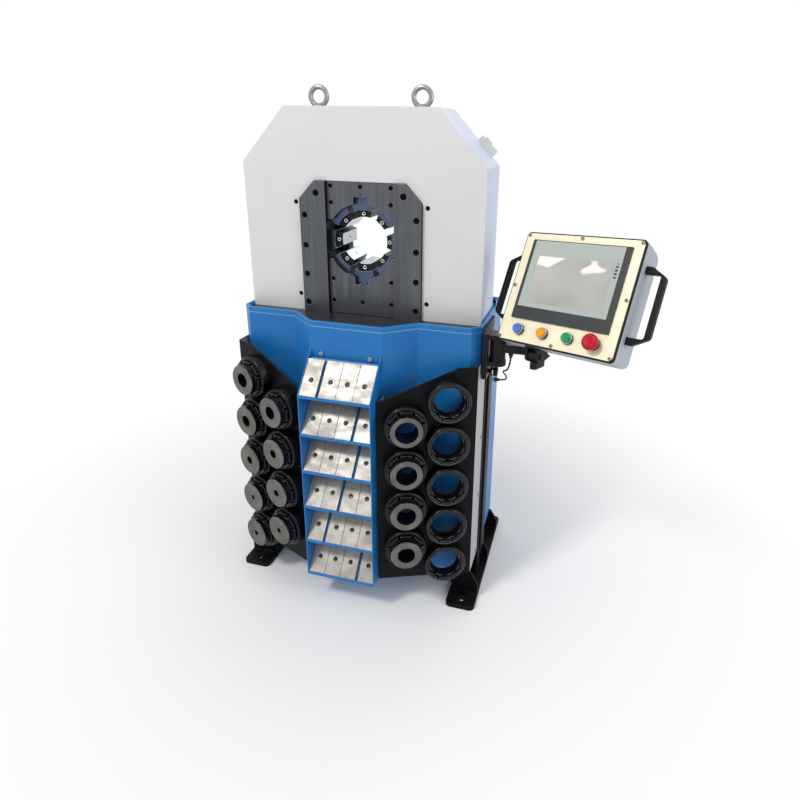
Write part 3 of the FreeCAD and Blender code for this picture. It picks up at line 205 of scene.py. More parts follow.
# the panel's cable, from under the arm to the cabinet's side
panelCable = {
    "route": (
        (0.441, -0.134, 0.806),
        (0.441, -0.134, 0.780),
        (0.432, -0.102, 0.746),
        (0.420, -0.050, 0.718),
        (0.405, 0.010, 0.692),
        (0.394, 0.066, 0.664),
        (0.400, 0.110, 0.636),
        (0.398, 0.138, 0.606),
        (0.3603, 0.138, 0.606),
    ),
    "radius": 0.0025,
    "length": 0.3867,
    "still": (0.441, -0.134, 0.69),
    "swung": (0.441, -0.134, 0.80),
    "smoothBelow": 50.0,
}


def makeCable():
    curve = bpy.data.curves.new("panelCable", "CURVE")
    curve.dimensions = "3D"
    curve.resolution_u = 16
    curve.bevel_resolution = 4
    curve.use_fill_caps = True
    spline = curve.splines.new("NURBS")
    route = panelCable["route"]
    spline.points.add(len(route) - 1)
    for point, place in zip(spline.points, route):
        point.co = (*place, 1.0)
    spline.order_u = 3
    spline.use_endpoint_u = True
    cable = bpy.data.objects.new("panelCable", curve)
    scene.collection.objects.link(cable)
    bareLine = bpy.data.meshes.new_from_object(cable)
    middleLine = [tuple(vertex.co) for vertex in bareLine.vertices]
    curve.bevel_depth = panelCable["radius"]
    pickOnly(cable)
    bpy.ops.object.convert(target="MESH")
    bpy.ops.object.mode_set(mode="EDIT")
    mergePoints()
    faceOutwards()
    bpy.ops.object.mode_set(mode="OBJECT")
    smoothPiece(cable, panelCable["smoothBelow"])
    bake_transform(cable)
    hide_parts("control_cable")
    return cable, middleLine


cableGland = {
    "profile": ((0.0068, 0.0), (0.0068, 0.0052), (0.0062, 0.006), (0.0058, 0.0062), (0.0058, 0.0095),
                (0.0046, 0.0108), (0.0033, 0.016)),
    "nut": ((0.007616, 0.0006), (0.007616, 0.006)),
    "segments": 24,
    "flats": 6,          # the nut's sides
    "ends": (("armGland", "arm", 0, (0.0, 0.0, -1.0)), ("sideGland", "machine", -1, (1.0, 0.0, 0.0))),
}


def makeGlands():
    gland = turnShape("cableGland", cableGland["profile"], cableGland["segments"])
    nut = turnShape("glandNut", cableGland["nut"], cableGland["flats"])
    gland = joinPieces([gland, nut], "cableGland")
    glands = []
    for name, body, end, way in cableGland["ends"]:
        twin = copyPiece(gland, name, pointing(panelCable["route"][end], way, (0.0, 1.0, 0.0)))
        smoothPiece(twin)
        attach(twin, body)
        glands.append(twin)
    bpy.data.objects.remove(gland)
    return glands


cable, cableLine = makeCable()
glands = makeGlands()
print("cable and glands ready")


# shader groups, each one effect that several finishes share; noise scales are per metre
effects = {
    "edgeSamples": 6,
    "edgeGain": 6.0,
    "edgePatch": 60.0,
    "cloudContrast": (0.3, 0.7),
    "speckContrast": (0.35, 0.65),
    "bandShare": 0.12,             # the bands' noise scale, as a share of the lines'
    "scuffWarp": 3.0,
    "scuffWidth": 0.012,
    "scuffPatch": 14.0,
    "scuffContrast": (0.55, 0.7),
    "dustLean": (0.6, 1.0),        # how far up a face has to look to gather dust
    "dustPatch": 22.0,
    "dustContrast": (0.4, 0.75),
    "facingGain": 25.0,
}


def startGroup(name, inputs, outputs):
    group = bpy.data.node_groups.new(name, "ShaderNodeTree")
    for label, kind, value in inputs:
        socket = group.interface.new_socket(label, in_out="INPUT", socket_type="NodeSocket" + kind)
        socket.default_value = value
    for label, kind in outputs:
        group.interface.new_socket(label, in_out="OUTPUT", socket_type="NodeSocket" + kind)
    return group, group.nodes.new("NodeGroupInput"), group.nodes.new("NodeGroupOutput")


def mathNode(tree, operation, first, second=None, clamp=False):
    node = tree.nodes.new("ShaderNodeMath")
    node.operation = operation
    node.use_clamp = clamp
    for index, value in enumerate((first, second)):
        if value is None:
            continue
        if isinstance(value, (int, float)):
            node.inputs[index].default_value = value
        else:
            tree.links.new(value, node.inputs[index])
    return node.outputs[0]


def blendColors(tree, mask, under, over):
    node = tree.nodes.new("ShaderNodeMix")
    node.data_type = "RGBA"
    node.blend_type = "MIX"
    for socket, value in ((node.inputs[0], mask), (node.inputs[6], under), (node.inputs[7], over)):
        if isinstance(value, (int, float)):
            socket.default_value = value
        elif isinstance(value, tuple):
            socket.default_value = (*value, 1.0)
        else:
            tree.links.new(value, socket)
    return node.outputs[2]


def remap(tree, value, low, high, newLow=0.0, newHigh=1.0):
    node = tree.nodes.new("ShaderNodeMapRange")
    for index, number in enumerate((low, high, newLow, newHigh)):
        node.inputs[index + 1].default_value = number
    tree.links.new(value, node.inputs[0])
    return node.outputs[0]


def objectPlaces(tree):
    return tree.nodes.new("ShaderNodeTexCoord").outputs["Object"]


def noise(tree, places, scale, detail=3.0, roughness=0.5):
    node = tree.nodes.new("ShaderNodeTexNoise")
    node.inputs["Detail"].default_value = detail
    node.inputs["Roughness"].default_value = roughness
    tree.links.new(places, node.inputs["Vector"])
    if isinstance(scale, (int, float)):
        node.inputs["Scale"].default_value = scale
    else:
        tree.links.new(scale, node.inputs["Scale"])
    return node.outputs[0]


def objectNormal(tree):
    flat = tree.nodes.new("ShaderNodeNewGeometry")
    turned = tree.nodes.new("ShaderNodeVectorTransform")
    turned.vector_type = "NORMAL"
    turned.convert_from = "WORLD"
    turned.convert_to = "OBJECT"
    tree.links.new(flat.outputs["True Normal"], turned.inputs[0])
    return turned.outputs[0]


# the edges that the bevel finds; the finishes colour them in edgeColor, partly as wear and partly as painted
# highlight, and on the panel screws as painted shadow
def makeEdgeLine():
    group, given, made = startGroup("edgeLine", [("Radius", "Float", 0.0015), ("Breakup", "Float", 0.3)],
                                    [("Mask", "Float"), ("Normal", "Vector")])
    bevel = group.nodes.new("ShaderNodeBevel")
    bevel.samples = effects["edgeSamples"]
    group.links.new(given.outputs["Radius"], bevel.inputs["Radius"])
    flat = group.nodes.new("ShaderNodeNewGeometry")
    dot = group.nodes.new("ShaderNodeVectorMath")
    dot.operation = "DOT_PRODUCT"
    group.links.new(bevel.outputs[0], dot.inputs[0])
    group.links.new(flat.outputs["Normal"], dot.inputs[1])
    turned = mathNode(group, "SUBTRACT", 1.0, dot.outputs["Value"])
    edge = mathNode(group, "MULTIPLY", turned, effects["edgeGain"], clamp=True)
    patches = noise(group, objectPlaces(group), effects["edgePatch"])
    patchy = mathNode(group, "MULTIPLY", patches, given.outputs["Breakup"])
    kept = mathNode(group, "SUBTRACT", 1.0, patchy)
    group.links.new(mathNode(group, "MULTIPLY", edge, kept, clamp=True), made.inputs["Mask"])
    group.links.new(bevel.outputs[0], made.inputs["Normal"])
    return group


def makeMottle():
    group, given, made = startGroup("mottle", [("Scale", "Float", 6.0), ("Fine", "Float", 90.0)],
                                    [("Cloud", "Float"), ("Speck", "Float")])
    places = objectPlaces(group)
    cloud = noise(group, places, given.outputs["Scale"], 4.0, 0.55)
    speck = noise(group, places, given.outputs["Fine"], 2.0, 0.6)
    group.links.new(remap(group, cloud, *effects["cloudContrast"]), made.inputs["Cloud"])
    group.links.new(remap(group, speck, *effects["speckContrast"]), made.inputs["Speck"])
    return group


def makeGrain():
    group, given, made = startGroup(
        "grain", [("Stretch", "Vector", (1.0, 1.0, 1.0)), ("Scale", "Float", 120.0)],
        [("Lines", "Float"), ("Bands", "Float")])
    scaled = group.nodes.new("ShaderNodeVectorMath")
    scaled.operation = "MULTIPLY"
    group.links.new(objectPlaces(group), scaled.inputs[0])
    group.links.new(given.outputs["Stretch"], scaled.inputs[1])
    lines = noise(group, scaled.outputs[0], given.outputs["Scale"], 2.0, 0.7)
    wide = mathNode(group, "MULTIPLY", given.outputs["Scale"], effects["bandShare"])
    bands = noise(group, scaled.outputs[0], wide, 3.0, 0.5)
    group.links.new(remap(group, lines, *effects["cloudContrast"]), made.inputs["Lines"])
    group.links.new(remap(group, bands, *effects["speckContrast"]), made.inputs["Bands"])
    return group


def makeScuffs():
    group, given, made = startGroup("scuffs", [("Scale", "Float", 9.0), ("Amount", "Float", 0.3)],
                                    [("Mask", "Float")])
    places = objectPlaces(group)
    warp = noise(group, places, effects["scuffWarp"])
    bent = group.nodes.new("ShaderNodeVectorMath")
    bent.operation = "ADD"
    group.links.new(places, bent.inputs[0])
    group.links.new(warp, bent.inputs[1])
    cells = group.nodes.new("ShaderNodeTexVoronoi")
    cells.feature = "DISTANCE_TO_EDGE"
    group.links.new(bent.outputs[0], cells.inputs["Vector"])
    group.links.new(given.outputs["Scale"], cells.inputs["Scale"])
    line = remap(group, cells.outputs["Distance"], 0.0, effects["scuffWidth"], 1.0, 0.0)
    where = remap(group, noise(group, places, effects["scuffPatch"]), *effects["scuffContrast"])
    mark = mathNode(group, "MULTIPLY", line, where, clamp=True)
    mask = mathNode(group, "MULTIPLY", mark, given.outputs["Amount"], clamp=True)
    group.links.new(mask, made.inputs["Mask"])
    return group


def makeSettledDust():
    group, given, made = startGroup("settledDust", [("Amount", "Float", 0.3)], [("Mask", "Float")])
    parts = group.nodes.new("ShaderNodeSeparateXYZ")
    group.links.new(objectNormal(group), parts.inputs[0])
    upward = remap(group, parts.outputs["Z"], *effects["dustLean"])
    patches = noise(group, objectPlaces(group), effects["dustPatch"], 5.0, 0.65)
    patches = remap(group, patches, *effects["dustContrast"])
    lying = mathNode(group, "MULTIPLY", upward, patches, clamp=True)
    mask = mathNode(group, "MULTIPLY", lying, given.outputs["Amount"], clamp=True)
    group.links.new(mask, made.inputs["Mask"])
    return group


def makeFacing():
    group, given, made = startGroup("facing", [("Way", "Vector", (0.0, -1.0, 0.0)), ("Low", "Float", 0.9)],
                                    [("Mask", "Float")])
    normal = objectNormal(group)
    spread = group.nodes.new("ShaderNodeSeparateXYZ")
    group.links.new(normal, spread.inputs[0])
    folded = group.nodes.new("ShaderNodeCombineXYZ")      # left and right alike
    group.links.new(mathNode(group, "ABSOLUTE", spread.outputs["X"]), folded.inputs["X"])
    group.links.new(spread.outputs["Y"], folded.inputs["Y"])
    group.links.new(spread.outputs["Z"], folded.inputs["Z"])
    dot = group.nodes.new("ShaderNodeVectorMath")
    dot.operation = "DOT_PRODUCT"
    group.links.new(folded.outputs[0], dot.inputs[0])
    group.links.new(given.outputs["Way"], dot.inputs[1])
    over = mathNode(group, "SUBTRACT", dot.outputs["Value"], given.outputs["Low"])
    mask = mathNode(group, "MULTIPLY", over, effects["facingGain"], clamp=True)
    group.links.new(mask, made.inputs["Mask"])
    return group


def makePanelRectangle():
    group, given, made = startGroup(
        "panelRectangle",
        [("Place", "Vector", (0.0, 0.0, 0.0)), ("Left", "Float", 0.0), ("Right", "Float", 0.1),
         ("Bottom", "Float", 0.0), ("Top", "Float", 0.1)],
        [("Mask", "Float")])
    parts = group.nodes.new("ShaderNodeSeparateXYZ")
    group.links.new(given.outputs["Place"], parts.inputs[0])
    tests = [mathNode(group, "GREATER_THAN", parts.outputs["X"], given.outputs["Left"]),
             mathNode(group, "LESS_THAN", parts.outputs["X"], given.outputs["Right"]),
             mathNode(group, "GREATER_THAN", parts.outputs["Z"], given.outputs["Bottom"]),
             mathNode(group, "LESS_THAN", parts.outputs["Z"], given.outputs["Top"])]
    inside = tests[0]
    for test in tests[1:]:
        inside = mathNode(group, "MULTIPLY", inside, test)
    group.links.new(inside, made.inputs["Mask"])
    return group


edgeLine = makeEdgeLine()
mottle = makeMottle()
grain = makeGrain()
scuffs = makeScuffs()
settledDust = makeSettledDust()
facing = makeFacing()
panelRectangle = makePanelRectangle()
print("shader groups ready")


# finishes
def startFinish(name):
    material = bpy.data.materials.new(name)
    material.use_nodes = True
    tree = material.node_tree
    tree.nodes.clear()
    shader = tree.nodes.new("ShaderNodeBsdfPrincipled")
    output = tree.nodes.new("ShaderNodeOutputMaterial")
    tree.links.new(shader.outputs[0], output.inputs[0])
    return material, tree, shader


def place(tree, group, **values):
    node = tree.nodes.new("ShaderNodeGroup")
    node.node_tree = group
    for label, value in values.items():
        node.inputs[label].default_value = value
    return node


def bump(tree, shader, height, depth, under=None):
    node = tree.nodes.new("ShaderNodeBump")
    node.inputs["Strength"].default_value = 1.0
    node.inputs["Distance"].default_value = depth
    tree.links.new(height, node.inputs["Height"])
    if under is not None:
        tree.links.new(under, node.inputs["Normal"])
    tree.links.new(node.outputs[0], shader.inputs["Normal"])


def sideFaces(tree, look):
    mask = place(tree, facing, Way=look["way"], Low=look["low"])
    return mask.outputs["Mask"]


usualPaint = {
    "cloud": 5.0,                # noise scale of the slow change of color
    "peel": 420.0,               # and of the orange peel
    "depth": 0.00006,
    "edge": 0.0015,              # width of the edges in edgeColor, partly wear and partly painted highlight
    "edgeShow": 0.7,
    "breakup": 0.4,
    "scuff": 7.0,
    "scuffed": 0.25,
    "dust": 0.12,
    "dustColor": (0.45, 0.43, 0.4),
    "dustRough": 0.4,
    "roughFrom": -0.05,
    "roughTo": 0.06,
    "specular": 0.5,
    "low": 0.9,
}


def paintedMetal(name, look):
    look = {**usualPaint, **look}
    material, tree, shader = startFinish(name)
    clouds = place(tree, mottle, Scale=look["cloud"], Fine=look["peel"])
    edges = place(tree, edgeLine, Radius=look["edge"], Breakup=look["breakup"])
    marks = place(tree, scuffs, Scale=look["scuff"], Amount=look["scuffed"])
    dust = place(tree, settledDust, Amount=look["dust"])
    color = blendColors(tree, clouds.outputs["Cloud"], look["color"], look["shade"])
    # faces that look along way take faceColor: a painted bluish light on the head's sides, a painted sheen on
    # the racks' side flanges
    if "way" in look:
        color = blendColors(tree, sideFaces(tree, look), color, look["faceColor"])
    # edges in edgeColor: partly wear, partly painted highlight; the scuffs are wear
    edgeMask = mathNode(tree, "MULTIPLY", edges.outputs["Mask"], look["edgeShow"])
    color = blendColors(tree, edgeMask, color, look["edgeColor"])
    color = blendColors(tree, marks.outputs["Mask"], color, look["edgeColor"])
    color = blendColors(tree, dust.outputs["Mask"], color, look["dustColor"])
    tree.links.new(color, shader.inputs["Base Color"])
    rough = remap(tree, clouds.outputs["Cloud"], 0.0, 1.0,
                  look["rough"] + look["roughFrom"], look["rough"] + look["roughTo"])
    dull = mathNode(tree, "MULTIPLY", dust.outputs["Mask"], look["dustRough"])
    tree.links.new(mathNode(tree, "ADD", rough, dull, clamp=True), shader.inputs["Roughness"])
    shader.inputs["Specular IOR Level"].default_value = look["specular"]
    bump(tree, shader, clouds.outputs["Speck"], look["depth"], edges.outputs["Normal"])
    return material


usualSteel = {
    "stretch": (1.0, 1.0, 0.04),     # the grain's lines run along the axis that is small here
    "lines": 500.0,
    "lineShow": 0.5,
    "bandShow": 0.0,
    "cloud": 18.0,
    "speck": 220.0,
    "stain": 0.35,
    "depth": 0.00003,
    "edge": 0.001,
    "edgeShow": 0.8,
    "breakup": 0.3,
    "scuff": 16.0,
    "scuffed": 0.35,
    "roughFrom": -0.08,
    "roughTo": 0.1,
    "metal": 1.0,
    "specular": 0.5,
    "low": 0.9,
    "faceSpeck": 0.0,
}


def workedSteel(name, look):
    look = {**usualSteel, "stainColor": look["shade"], **look}
    material, tree, shader = startFinish(name)
    lines = place(tree, grain, Stretch=look["stretch"], Scale=look["lines"])
    clouds = place(tree, mottle, Scale=look["cloud"], Fine=look["speck"])
    edges = place(tree, edgeLine, Radius=look["edge"], Breakup=look["breakup"])
    marks = place(tree, scuffs, Scale=look["scuff"], Amount=look["scuffed"])
    color = look["color"]
    for mask, amount, over in ((lines.outputs["Lines"], look["lineShow"], look["shade"]),
                               (lines.outputs["Bands"], look["bandShow"], look["shade"]),
                               (clouds.outputs["Cloud"], look["stain"], look["stainColor"])):
        color = blendColors(tree, mathNode(tree, "MULTIPLY", mask, amount), color, over)
    rough = remap(tree, lines.outputs["Bands"], 0.0, 1.0,
                  look["rough"] + look["roughFrom"], look["rough"] + look["roughTo"])
    if "inside" in look:
        color, rough = insideLook(tree, look["inside"], color, rough)
    # faces that look along way take faceColor and faceShade; on the plates this is painted shade on the side
    # faces, on the panel screws the faces off the way keep a painted shadow, elsewhere the faces' own colours
    if "way" in look:
        mask = sideFaces(tree, look)
        patchy = blendColors(tree, clouds.outputs["Cloud"], look["faceColor"], look["faceShade"])
        specks = mathNode(tree, "MULTIPLY", clouds.outputs["Speck"], look["faceSpeck"])
        patchy = blendColors(tree, specks, patchy, look["faceShade"])
        color = blendColors(tree, mask, color, patchy)
        gap = mathNode(tree, "SUBTRACT", look["faceRough"], rough)
        rough = mathNode(tree, "ADD", rough, mathNode(tree, "MULTIPLY", gap, mask))
    # edges in edgeColor: partly wear, partly painted highlight, on the panel screws a painted shadow ring;
    # the scuffs are wear
    edgeMask = mathNode(tree, "MULTIPLY", edges.outputs["Mask"], look["edgeShow"])
    color = blendColors(tree, edgeMask, color, look["edgeColor"])
    color = blendColors(tree, marks.outputs["Mask"], color, look["edgeColor"])
    tree.links.new(color, shader.inputs["Base Color"])
    shader.inputs["Metallic"].default_value = look["metal"]
    tree.links.new(rough, shader.inputs["Roughness"])
    shader.inputs["Specular IOR Level"].default_value = look["specular"]
    bump(tree, shader, lines.outputs["Lines"], look["depth"], edges.outputs["Normal"])
    return material


def insideLook(tree, inside, color, rough):
    parts = tree.nodes.new("ShaderNodeSeparateXYZ")       # the faces nearest the bore
    tree.links.new(objectPlaces(tree), parts.inputs[0])
    high = mathNode(tree, "SUBTRACT", parts.outputs["Z"], inside["level"])
    square = mathNode(tree, "ADD", mathNode(tree, "MULTIPLY", high, high),
                      mathNode(tree, "MULTIPLY", parts.outputs["X"], parts.outputs["X"]))
    mask = mathNode(tree, "LESS_THAN", mathNode(tree, "SQRT", square), inside["radius"])
    color = blendColors(tree, mask, color, inside["color"])
    gap = mathNode(tree, "SUBTRACT", inside["rough"], rough)
    return color, mathNode(tree, "ADD", rough, mathNode(tree, "MULTIPLY", gap, mask))


usualPlastic = {
    "cloud": 14.0,
    "texture": 900.0,
    "depth": 0.00002,
    "edge": 0.001,
    "edgeShow": 0.35,
    "breakup": 0.2,
    "dust": 0.08,
    "dustColor": (0.4, 0.38, 0.36),
    "roughFrom": -0.04,
    "roughTo": 0.05,
    "specular": 0.5,
    "coat": 0.0,
    "coatRough": 0.08,
}


def mouldedPlastic(name, look):
    look = {**usualPlastic, "edgeColor": look["shade"], **look}
    material, tree, shader = startFinish(name)
    skin = place(tree, mottle, Scale=look["cloud"], Fine=look["texture"])
    edges = place(tree, edgeLine, Radius=look["edge"], Breakup=look["breakup"])
    dust = place(tree, settledDust, Amount=look["dust"])
    color = blendColors(tree, skin.outputs["Cloud"], look["color"], look["shade"])
    edgeMask = mathNode(tree, "MULTIPLY", edges.outputs["Mask"], look["edgeShow"])
    color = blendColors(tree, edgeMask, color, look["edgeColor"])
    color = blendColors(tree, dust.outputs["Mask"], color, look["dustColor"])
    tree.links.new(color, shader.inputs["Base Color"])
    rough = remap(tree, skin.outputs["Speck"], 0.0, 1.0,
                  look["rough"] + look["roughFrom"], look["rough"] + look["roughTo"])
    tree.links.new(rough, shader.inputs["Roughness"])
    shader.inputs["Specular IOR Level"].default_value = look["specular"]
    shader.inputs["Coat Weight"].default_value = look["coat"]
    shader.inputs["Coat Roughness"].default_value = look["coatRough"]
    bump(tree, shader, skin.outputs["Speck"], look["depth"], edges.outputs["Normal"])
    return material


frontWay = (0.0, -1.0, 0.0)
sideWay = (1.0, 0.0, 0.0)
rackWay = (0.3757, -0.9267, 0.0)      # out of the die racks' panels
panelWay = (0.4565, -0.7568, 0.4679)  # out of the control panel, with left folded onto right
paints = {
    "cabinetBlue": {"color": (0.014, 0.172, 0.475), "shade": (0.012, 0.15, 0.43),
                    "edgeColor": (0.09, 0.34, 0.66), "rough": 0.36, "specular": 0.28, "edge": 0.0022,
                    "scuffed": 0.15, "dust": 0.06},
    # headWhite: faceColor is a painted bluish light on the head's sides
    "headWhite": {"color": (0.66, 0.66, 0.655), "shade": (0.62, 0.625, 0.625),
                  "edgeColor": (0.76, 0.77, 0.8), "rough": 0.46, "specular": 0.3, "scuffed": 0.06,
                  "dust": 0.12, "edge": 0.003, "way": sideWay, "low": 0.5, "faceColor": (0.56, 0.62, 0.74)},
    # rackBlack: faceColor is a painted sheen on the side flanges, which face along X
    "rackBlack": {"color": (0.0025, 0.003, 0.004), "shade": (0.004, 0.0045, 0.0055),
                  "edgeColor": (0.1, 0.105, 0.115), "rough": 0.42, "specular": 0.12, "dust": 0.04,
                  "edge": 0.0016, "scuffed": 0.06, "way": sideWay, "low": 0.93,
                  "faceColor": (0.4, 0.405, 0.41)},
    "footBlack": {"color": (0.003, 0.0035, 0.0045), "shade": (0.005, 0.0055, 0.0065),
                  "edgeColor": (0.09, 0.09, 0.1), "rough": 0.4, "specular": 0.07, "dust": 0.015,
                  "scuffed": 0.25, "edge": 0.0018},
    "armBlack": {"color": (0.004, 0.0045, 0.0055), "shade": (0.007, 0.0075, 0.009),
                 "edgeColor": (0.07, 0.07, 0.08), "rough": 0.36, "specular": 0.18, "dust": 0.04,
                 "edge": 0.0018},
    "boxGrey": {"color": (0.4, 0.425, 0.46), "shade": (0.37, 0.395, 0.435), "edgeColor": (0.55, 0.57, 0.6),
                "rough": 0.42, "specular": 0.3, "scuffed": 0.08, "dust": 0.05, "edge": 0.003},
    "switchGrey": {"color": (0.6, 0.62, 0.61), "shade": (0.54, 0.56, 0.56), "edgeColor": (0.75, 0.76, 0.76),
                   "rough": 0.4, "specular": 0.3, "edge": 0.0012},
    "castGrey": {"color": (0.16, 0.17, 0.18), "shade": (0.12, 0.125, 0.135), "edgeColor": (0.3, 0.3, 0.3),
                 "rough": 0.55, "peel": 160.0, "depth": 0.0003, "dust": 0.3},
}
steels = {
    # plateSteel: faceColor and faceShade are painted shade on the side faces of the plates' steps and gaps;
    # its light edges are partly painted highlight
    "plateSteel": {"color": (0.135, 0.142, 0.158), "shade": (0.07, 0.075, 0.085),
                   "edgeColor": (0.34, 0.35, 0.37), "rough": 0.4, "stretch": (1.0, 1.0, 0.03), "metal": 0.8,
                   "bandShow": 0.6, "stain": 0.2, "scuffed": 0.12, "lineShow": 0.35, "way": sideWay,
                   "low": 0.9, "faceRough": 0.5, "faceColor": (0.008, 0.008, 0.009),
                   "faceShade": (0.004, 0.004, 0.005)},
    # traySteel: its darker bands are partly grain and partly painted reflection, the dark streaks on the tray
    # floor
    "traySteel": {"color": (0.085, 0.088, 0.088), "shade": (0.03, 0.03, 0.032),
                  "edgeColor": (0.2, 0.2, 0.2), "rough": 0.3, "stretch": (0.05, 1.0, 1.0), "metal": 0.7,
                  "bandShow": 0.5, "scuffed": 0.6},
    "groundSteel": {"color": (0.46, 0.44, 0.4), "shade": (0.24, 0.23, 0.205),
                    "edgeColor": (0.62, 0.6, 0.56), "rough": 0.42, "stretch": (0.4, 1.0, 1.0),
                    "lines": 380.0, "lineShow": 0.45, "stain": 0.7, "cloud": 30.0,
                    "stainColor": (0.2, 0.19, 0.165), "metal": 0.45, "specular": 0.3},
    # nearBlackSteel, near black: the frame and beams inside the head, and the cups in the blocks' holes,
    # which are painted shade; its light edges are painted highlight
    "nearBlackSteel": {"color": (0.016, 0.016, 0.018), "shade": (0.007, 0.007, 0.008),
                   "edgeColor": (0.3, 0.3, 0.3), "rough": 0.28, "metal": 0.8, "stain": 0.6, "scuffed": 0.2},
    "dieSteel": {"color": (0.4, 0.42, 0.45), "shade": (0.25, 0.265, 0.29), "edgeColor": (0.4, 0.44, 0.5),
                 "rough": 0.28, "stretch": (1.0, 0.05, 1.0), "way": frontWay, "low": 0.9,
                 "faceColor": (0.105, 0.135, 0.21), "faceShade": (0.055, 0.085, 0.16), "faceRough": 0.34},
    "insertSteel": {"color": (0.02, 0.02, 0.023), "shade": (0.01, 0.01, 0.012),
                    "edgeColor": (0.2, 0.2, 0.21), "rough": 0.34, "metal": 0.8, "edgeShow": 0.5,
                    "scuffed": 0.15,
                    "inside": {"level": 1.074, "radius": 0.0673, "rough": 0.2, "color": (0.5, 0.54, 0.61)}},
    # ringSteel: the light edgeColor is a painted highlight along the rings' rims
    "ringSteel": {"color": (0.006, 0.0065, 0.008), "shade": (0.003, 0.003, 0.004),
                  "edgeColor": (0.2, 0.205, 0.22), "rough": 0.26, "metal": 0.3, "specular": 0.3,
                  "edge": 0.0022, "scuffed": 0.2},
    # setSteel: the light edgeColor is a painted highlight along the stored dies' rims
    "setSteel": {"color": (0.006, 0.0065, 0.008), "shade": (0.004, 0.004, 0.005),
                 "edgeColor": (0.33, 0.32, 0.3), "rough": 0.22, "metal": 0.3, "specular": 0.45,
                 "edge": 0.0016, "edgeShow": 1.0, "scuffed": 0.2, "stretch": (1.0, 1.0, 1.0), "cloud": 26.0,
                 "speck": 420.0, "way": rackWay, "low": 0.95, "faceColor": (0.185, 0.178, 0.165),
                 "faceShade": (0.085, 0.08, 0.072), "faceSpeck": 0.5, "faceRough": 0.5},
    "screwBlack": {"color": (0.004, 0.004, 0.005), "shade": (0.002, 0.002, 0.003),
                   "edgeColor": (0.05, 0.05, 0.055), "rough": 0.42, "metal": 0.4, "specular": 0.1},
    "zincSteel": {"color": (0.42, 0.43, 0.44), "shade": (0.3, 0.31, 0.32), "edgeColor": (0.6, 0.6, 0.6),
                  "rough": 0.32, "metal": 0.9},
    "eyeSteel": {"color": (0.36, 0.365, 0.38), "shade": (0.24, 0.245, 0.26), "edgeColor": (0.6, 0.6, 0.62),
                 "rough": 0.3, "stretch": (1.0, 1.0, 1.0), "lines": 160.0, "lineShow": 0.4, "stain": 0.4},
    "chromeSteel": {"color": (0.58, 0.58, 0.59), "shade": (0.42, 0.42, 0.43),
                    "edgeColor": (0.75, 0.75, 0.75), "rough": 0.2, "lineShow": 0.2, "scuffed": 0.1},
    "bezelSteel": {"color": (0.012, 0.011, 0.011), "shade": (0.008, 0.008, 0.008),
                   "edgeColor": (0.5, 0.5, 0.5), "rough": 0.3, "metal": 0.2, "edge": 0.0012,
                   "way": panelWay, "low": 0.8, "faceColor": (0.6, 0.6, 0.58),
                   "faceShade": (0.48, 0.48, 0.46), "faceRough": 0.3},
    "frontSteel": {"color": (0.93, 0.86, 0.66), "shade": (0.84, 0.75, 0.52),
                   "edgeColor": (0.93, 0.89, 0.76), "rough": 0.4, "stretch": (0.06, 0.06, 1.0),
                   "lines": 900.0, "lineShow": 0.2, "stain": 0.75, "stainColor": (0.8, 0.72, 0.5),
                   "cloud": 16.0, "metal": 0.2, "specular": 0.3, "scuffed": 0.1},
    # panelScrewSteel: the dark sides and the dark edgeColor ring are painted shadow of the countersinks round
    # the light heads
    "panelScrewSteel": {"color": (0.06, 0.055, 0.05), "shade": (0.04, 0.036, 0.032),
                        "edgeColor": (0.03, 0.027, 0.025), "rough": 0.35, "edge": 0.0016, "edgeShow": 1.0,
                        "way": panelWay, "low": 0.95, "metal": 0.6, "faceColor": (0.5, 0.46, 0.38),
                        "faceShade": (0.36, 0.33, 0.27), "faceRough": 0.35},
}
plastics = {
    "handleBlack": {"color": (0.003, 0.0035, 0.0045), "shade": (0.005, 0.0055, 0.0065), "rough": 0.32,
                    "edgeColor": (0.05, 0.055, 0.06), "specular": 0.12, "dust": 0.02},
    "sealBlack": {"color": (0.006, 0.006, 0.007), "shade": (0.01, 0.01, 0.011), "rough": 0.6,
                  "specular": 0.2, "dust": 0.02},
    # paleRimHighlight: a painted highlight along the tray rim's seam
    "paleRimHighlight": {"color": (0.5, 0.68, 0.85), "shade": (0.36, 0.55, 0.76), "rough": 0.25, "specular": 0.5,
                    "dust": 0.02, "cloud": 9.0},
    "cableBlack": {"color": (0.012, 0.012, 0.012), "shade": (0.018, 0.018, 0.018), "rough": 0.5,
                   "specular": 0.3},
    "capBlue": {"color": (0.06, 0.19, 0.58), "shade": (0.05, 0.15, 0.5), "rough": 0.28, "coat": 0.15},
    "capOrange": {"color": (0.9, 0.37, 0.006), "shade": (0.84, 0.32, 0.005), "rough": 0.3, "specular": 0.3},
    "capGreen": {"color": (0.006, 0.33, 0.14), "shade": (0.004, 0.28, 0.115), "rough": 0.3,
                 "specular": 0.3},
    "capRed": {"color": (0.52, 0.004, 0.022), "shade": (0.44, 0.003, 0.016), "rough": 0.38,
               "specular": 0.22},
}
finishes = {}
for makeFinish, looks in ((paintedMetal, paints), (workedSteel, steels), (mouldedPlastic, plastics)):
    for name, look in looks.items():
        finishes[name] = makeFinish(name, look)


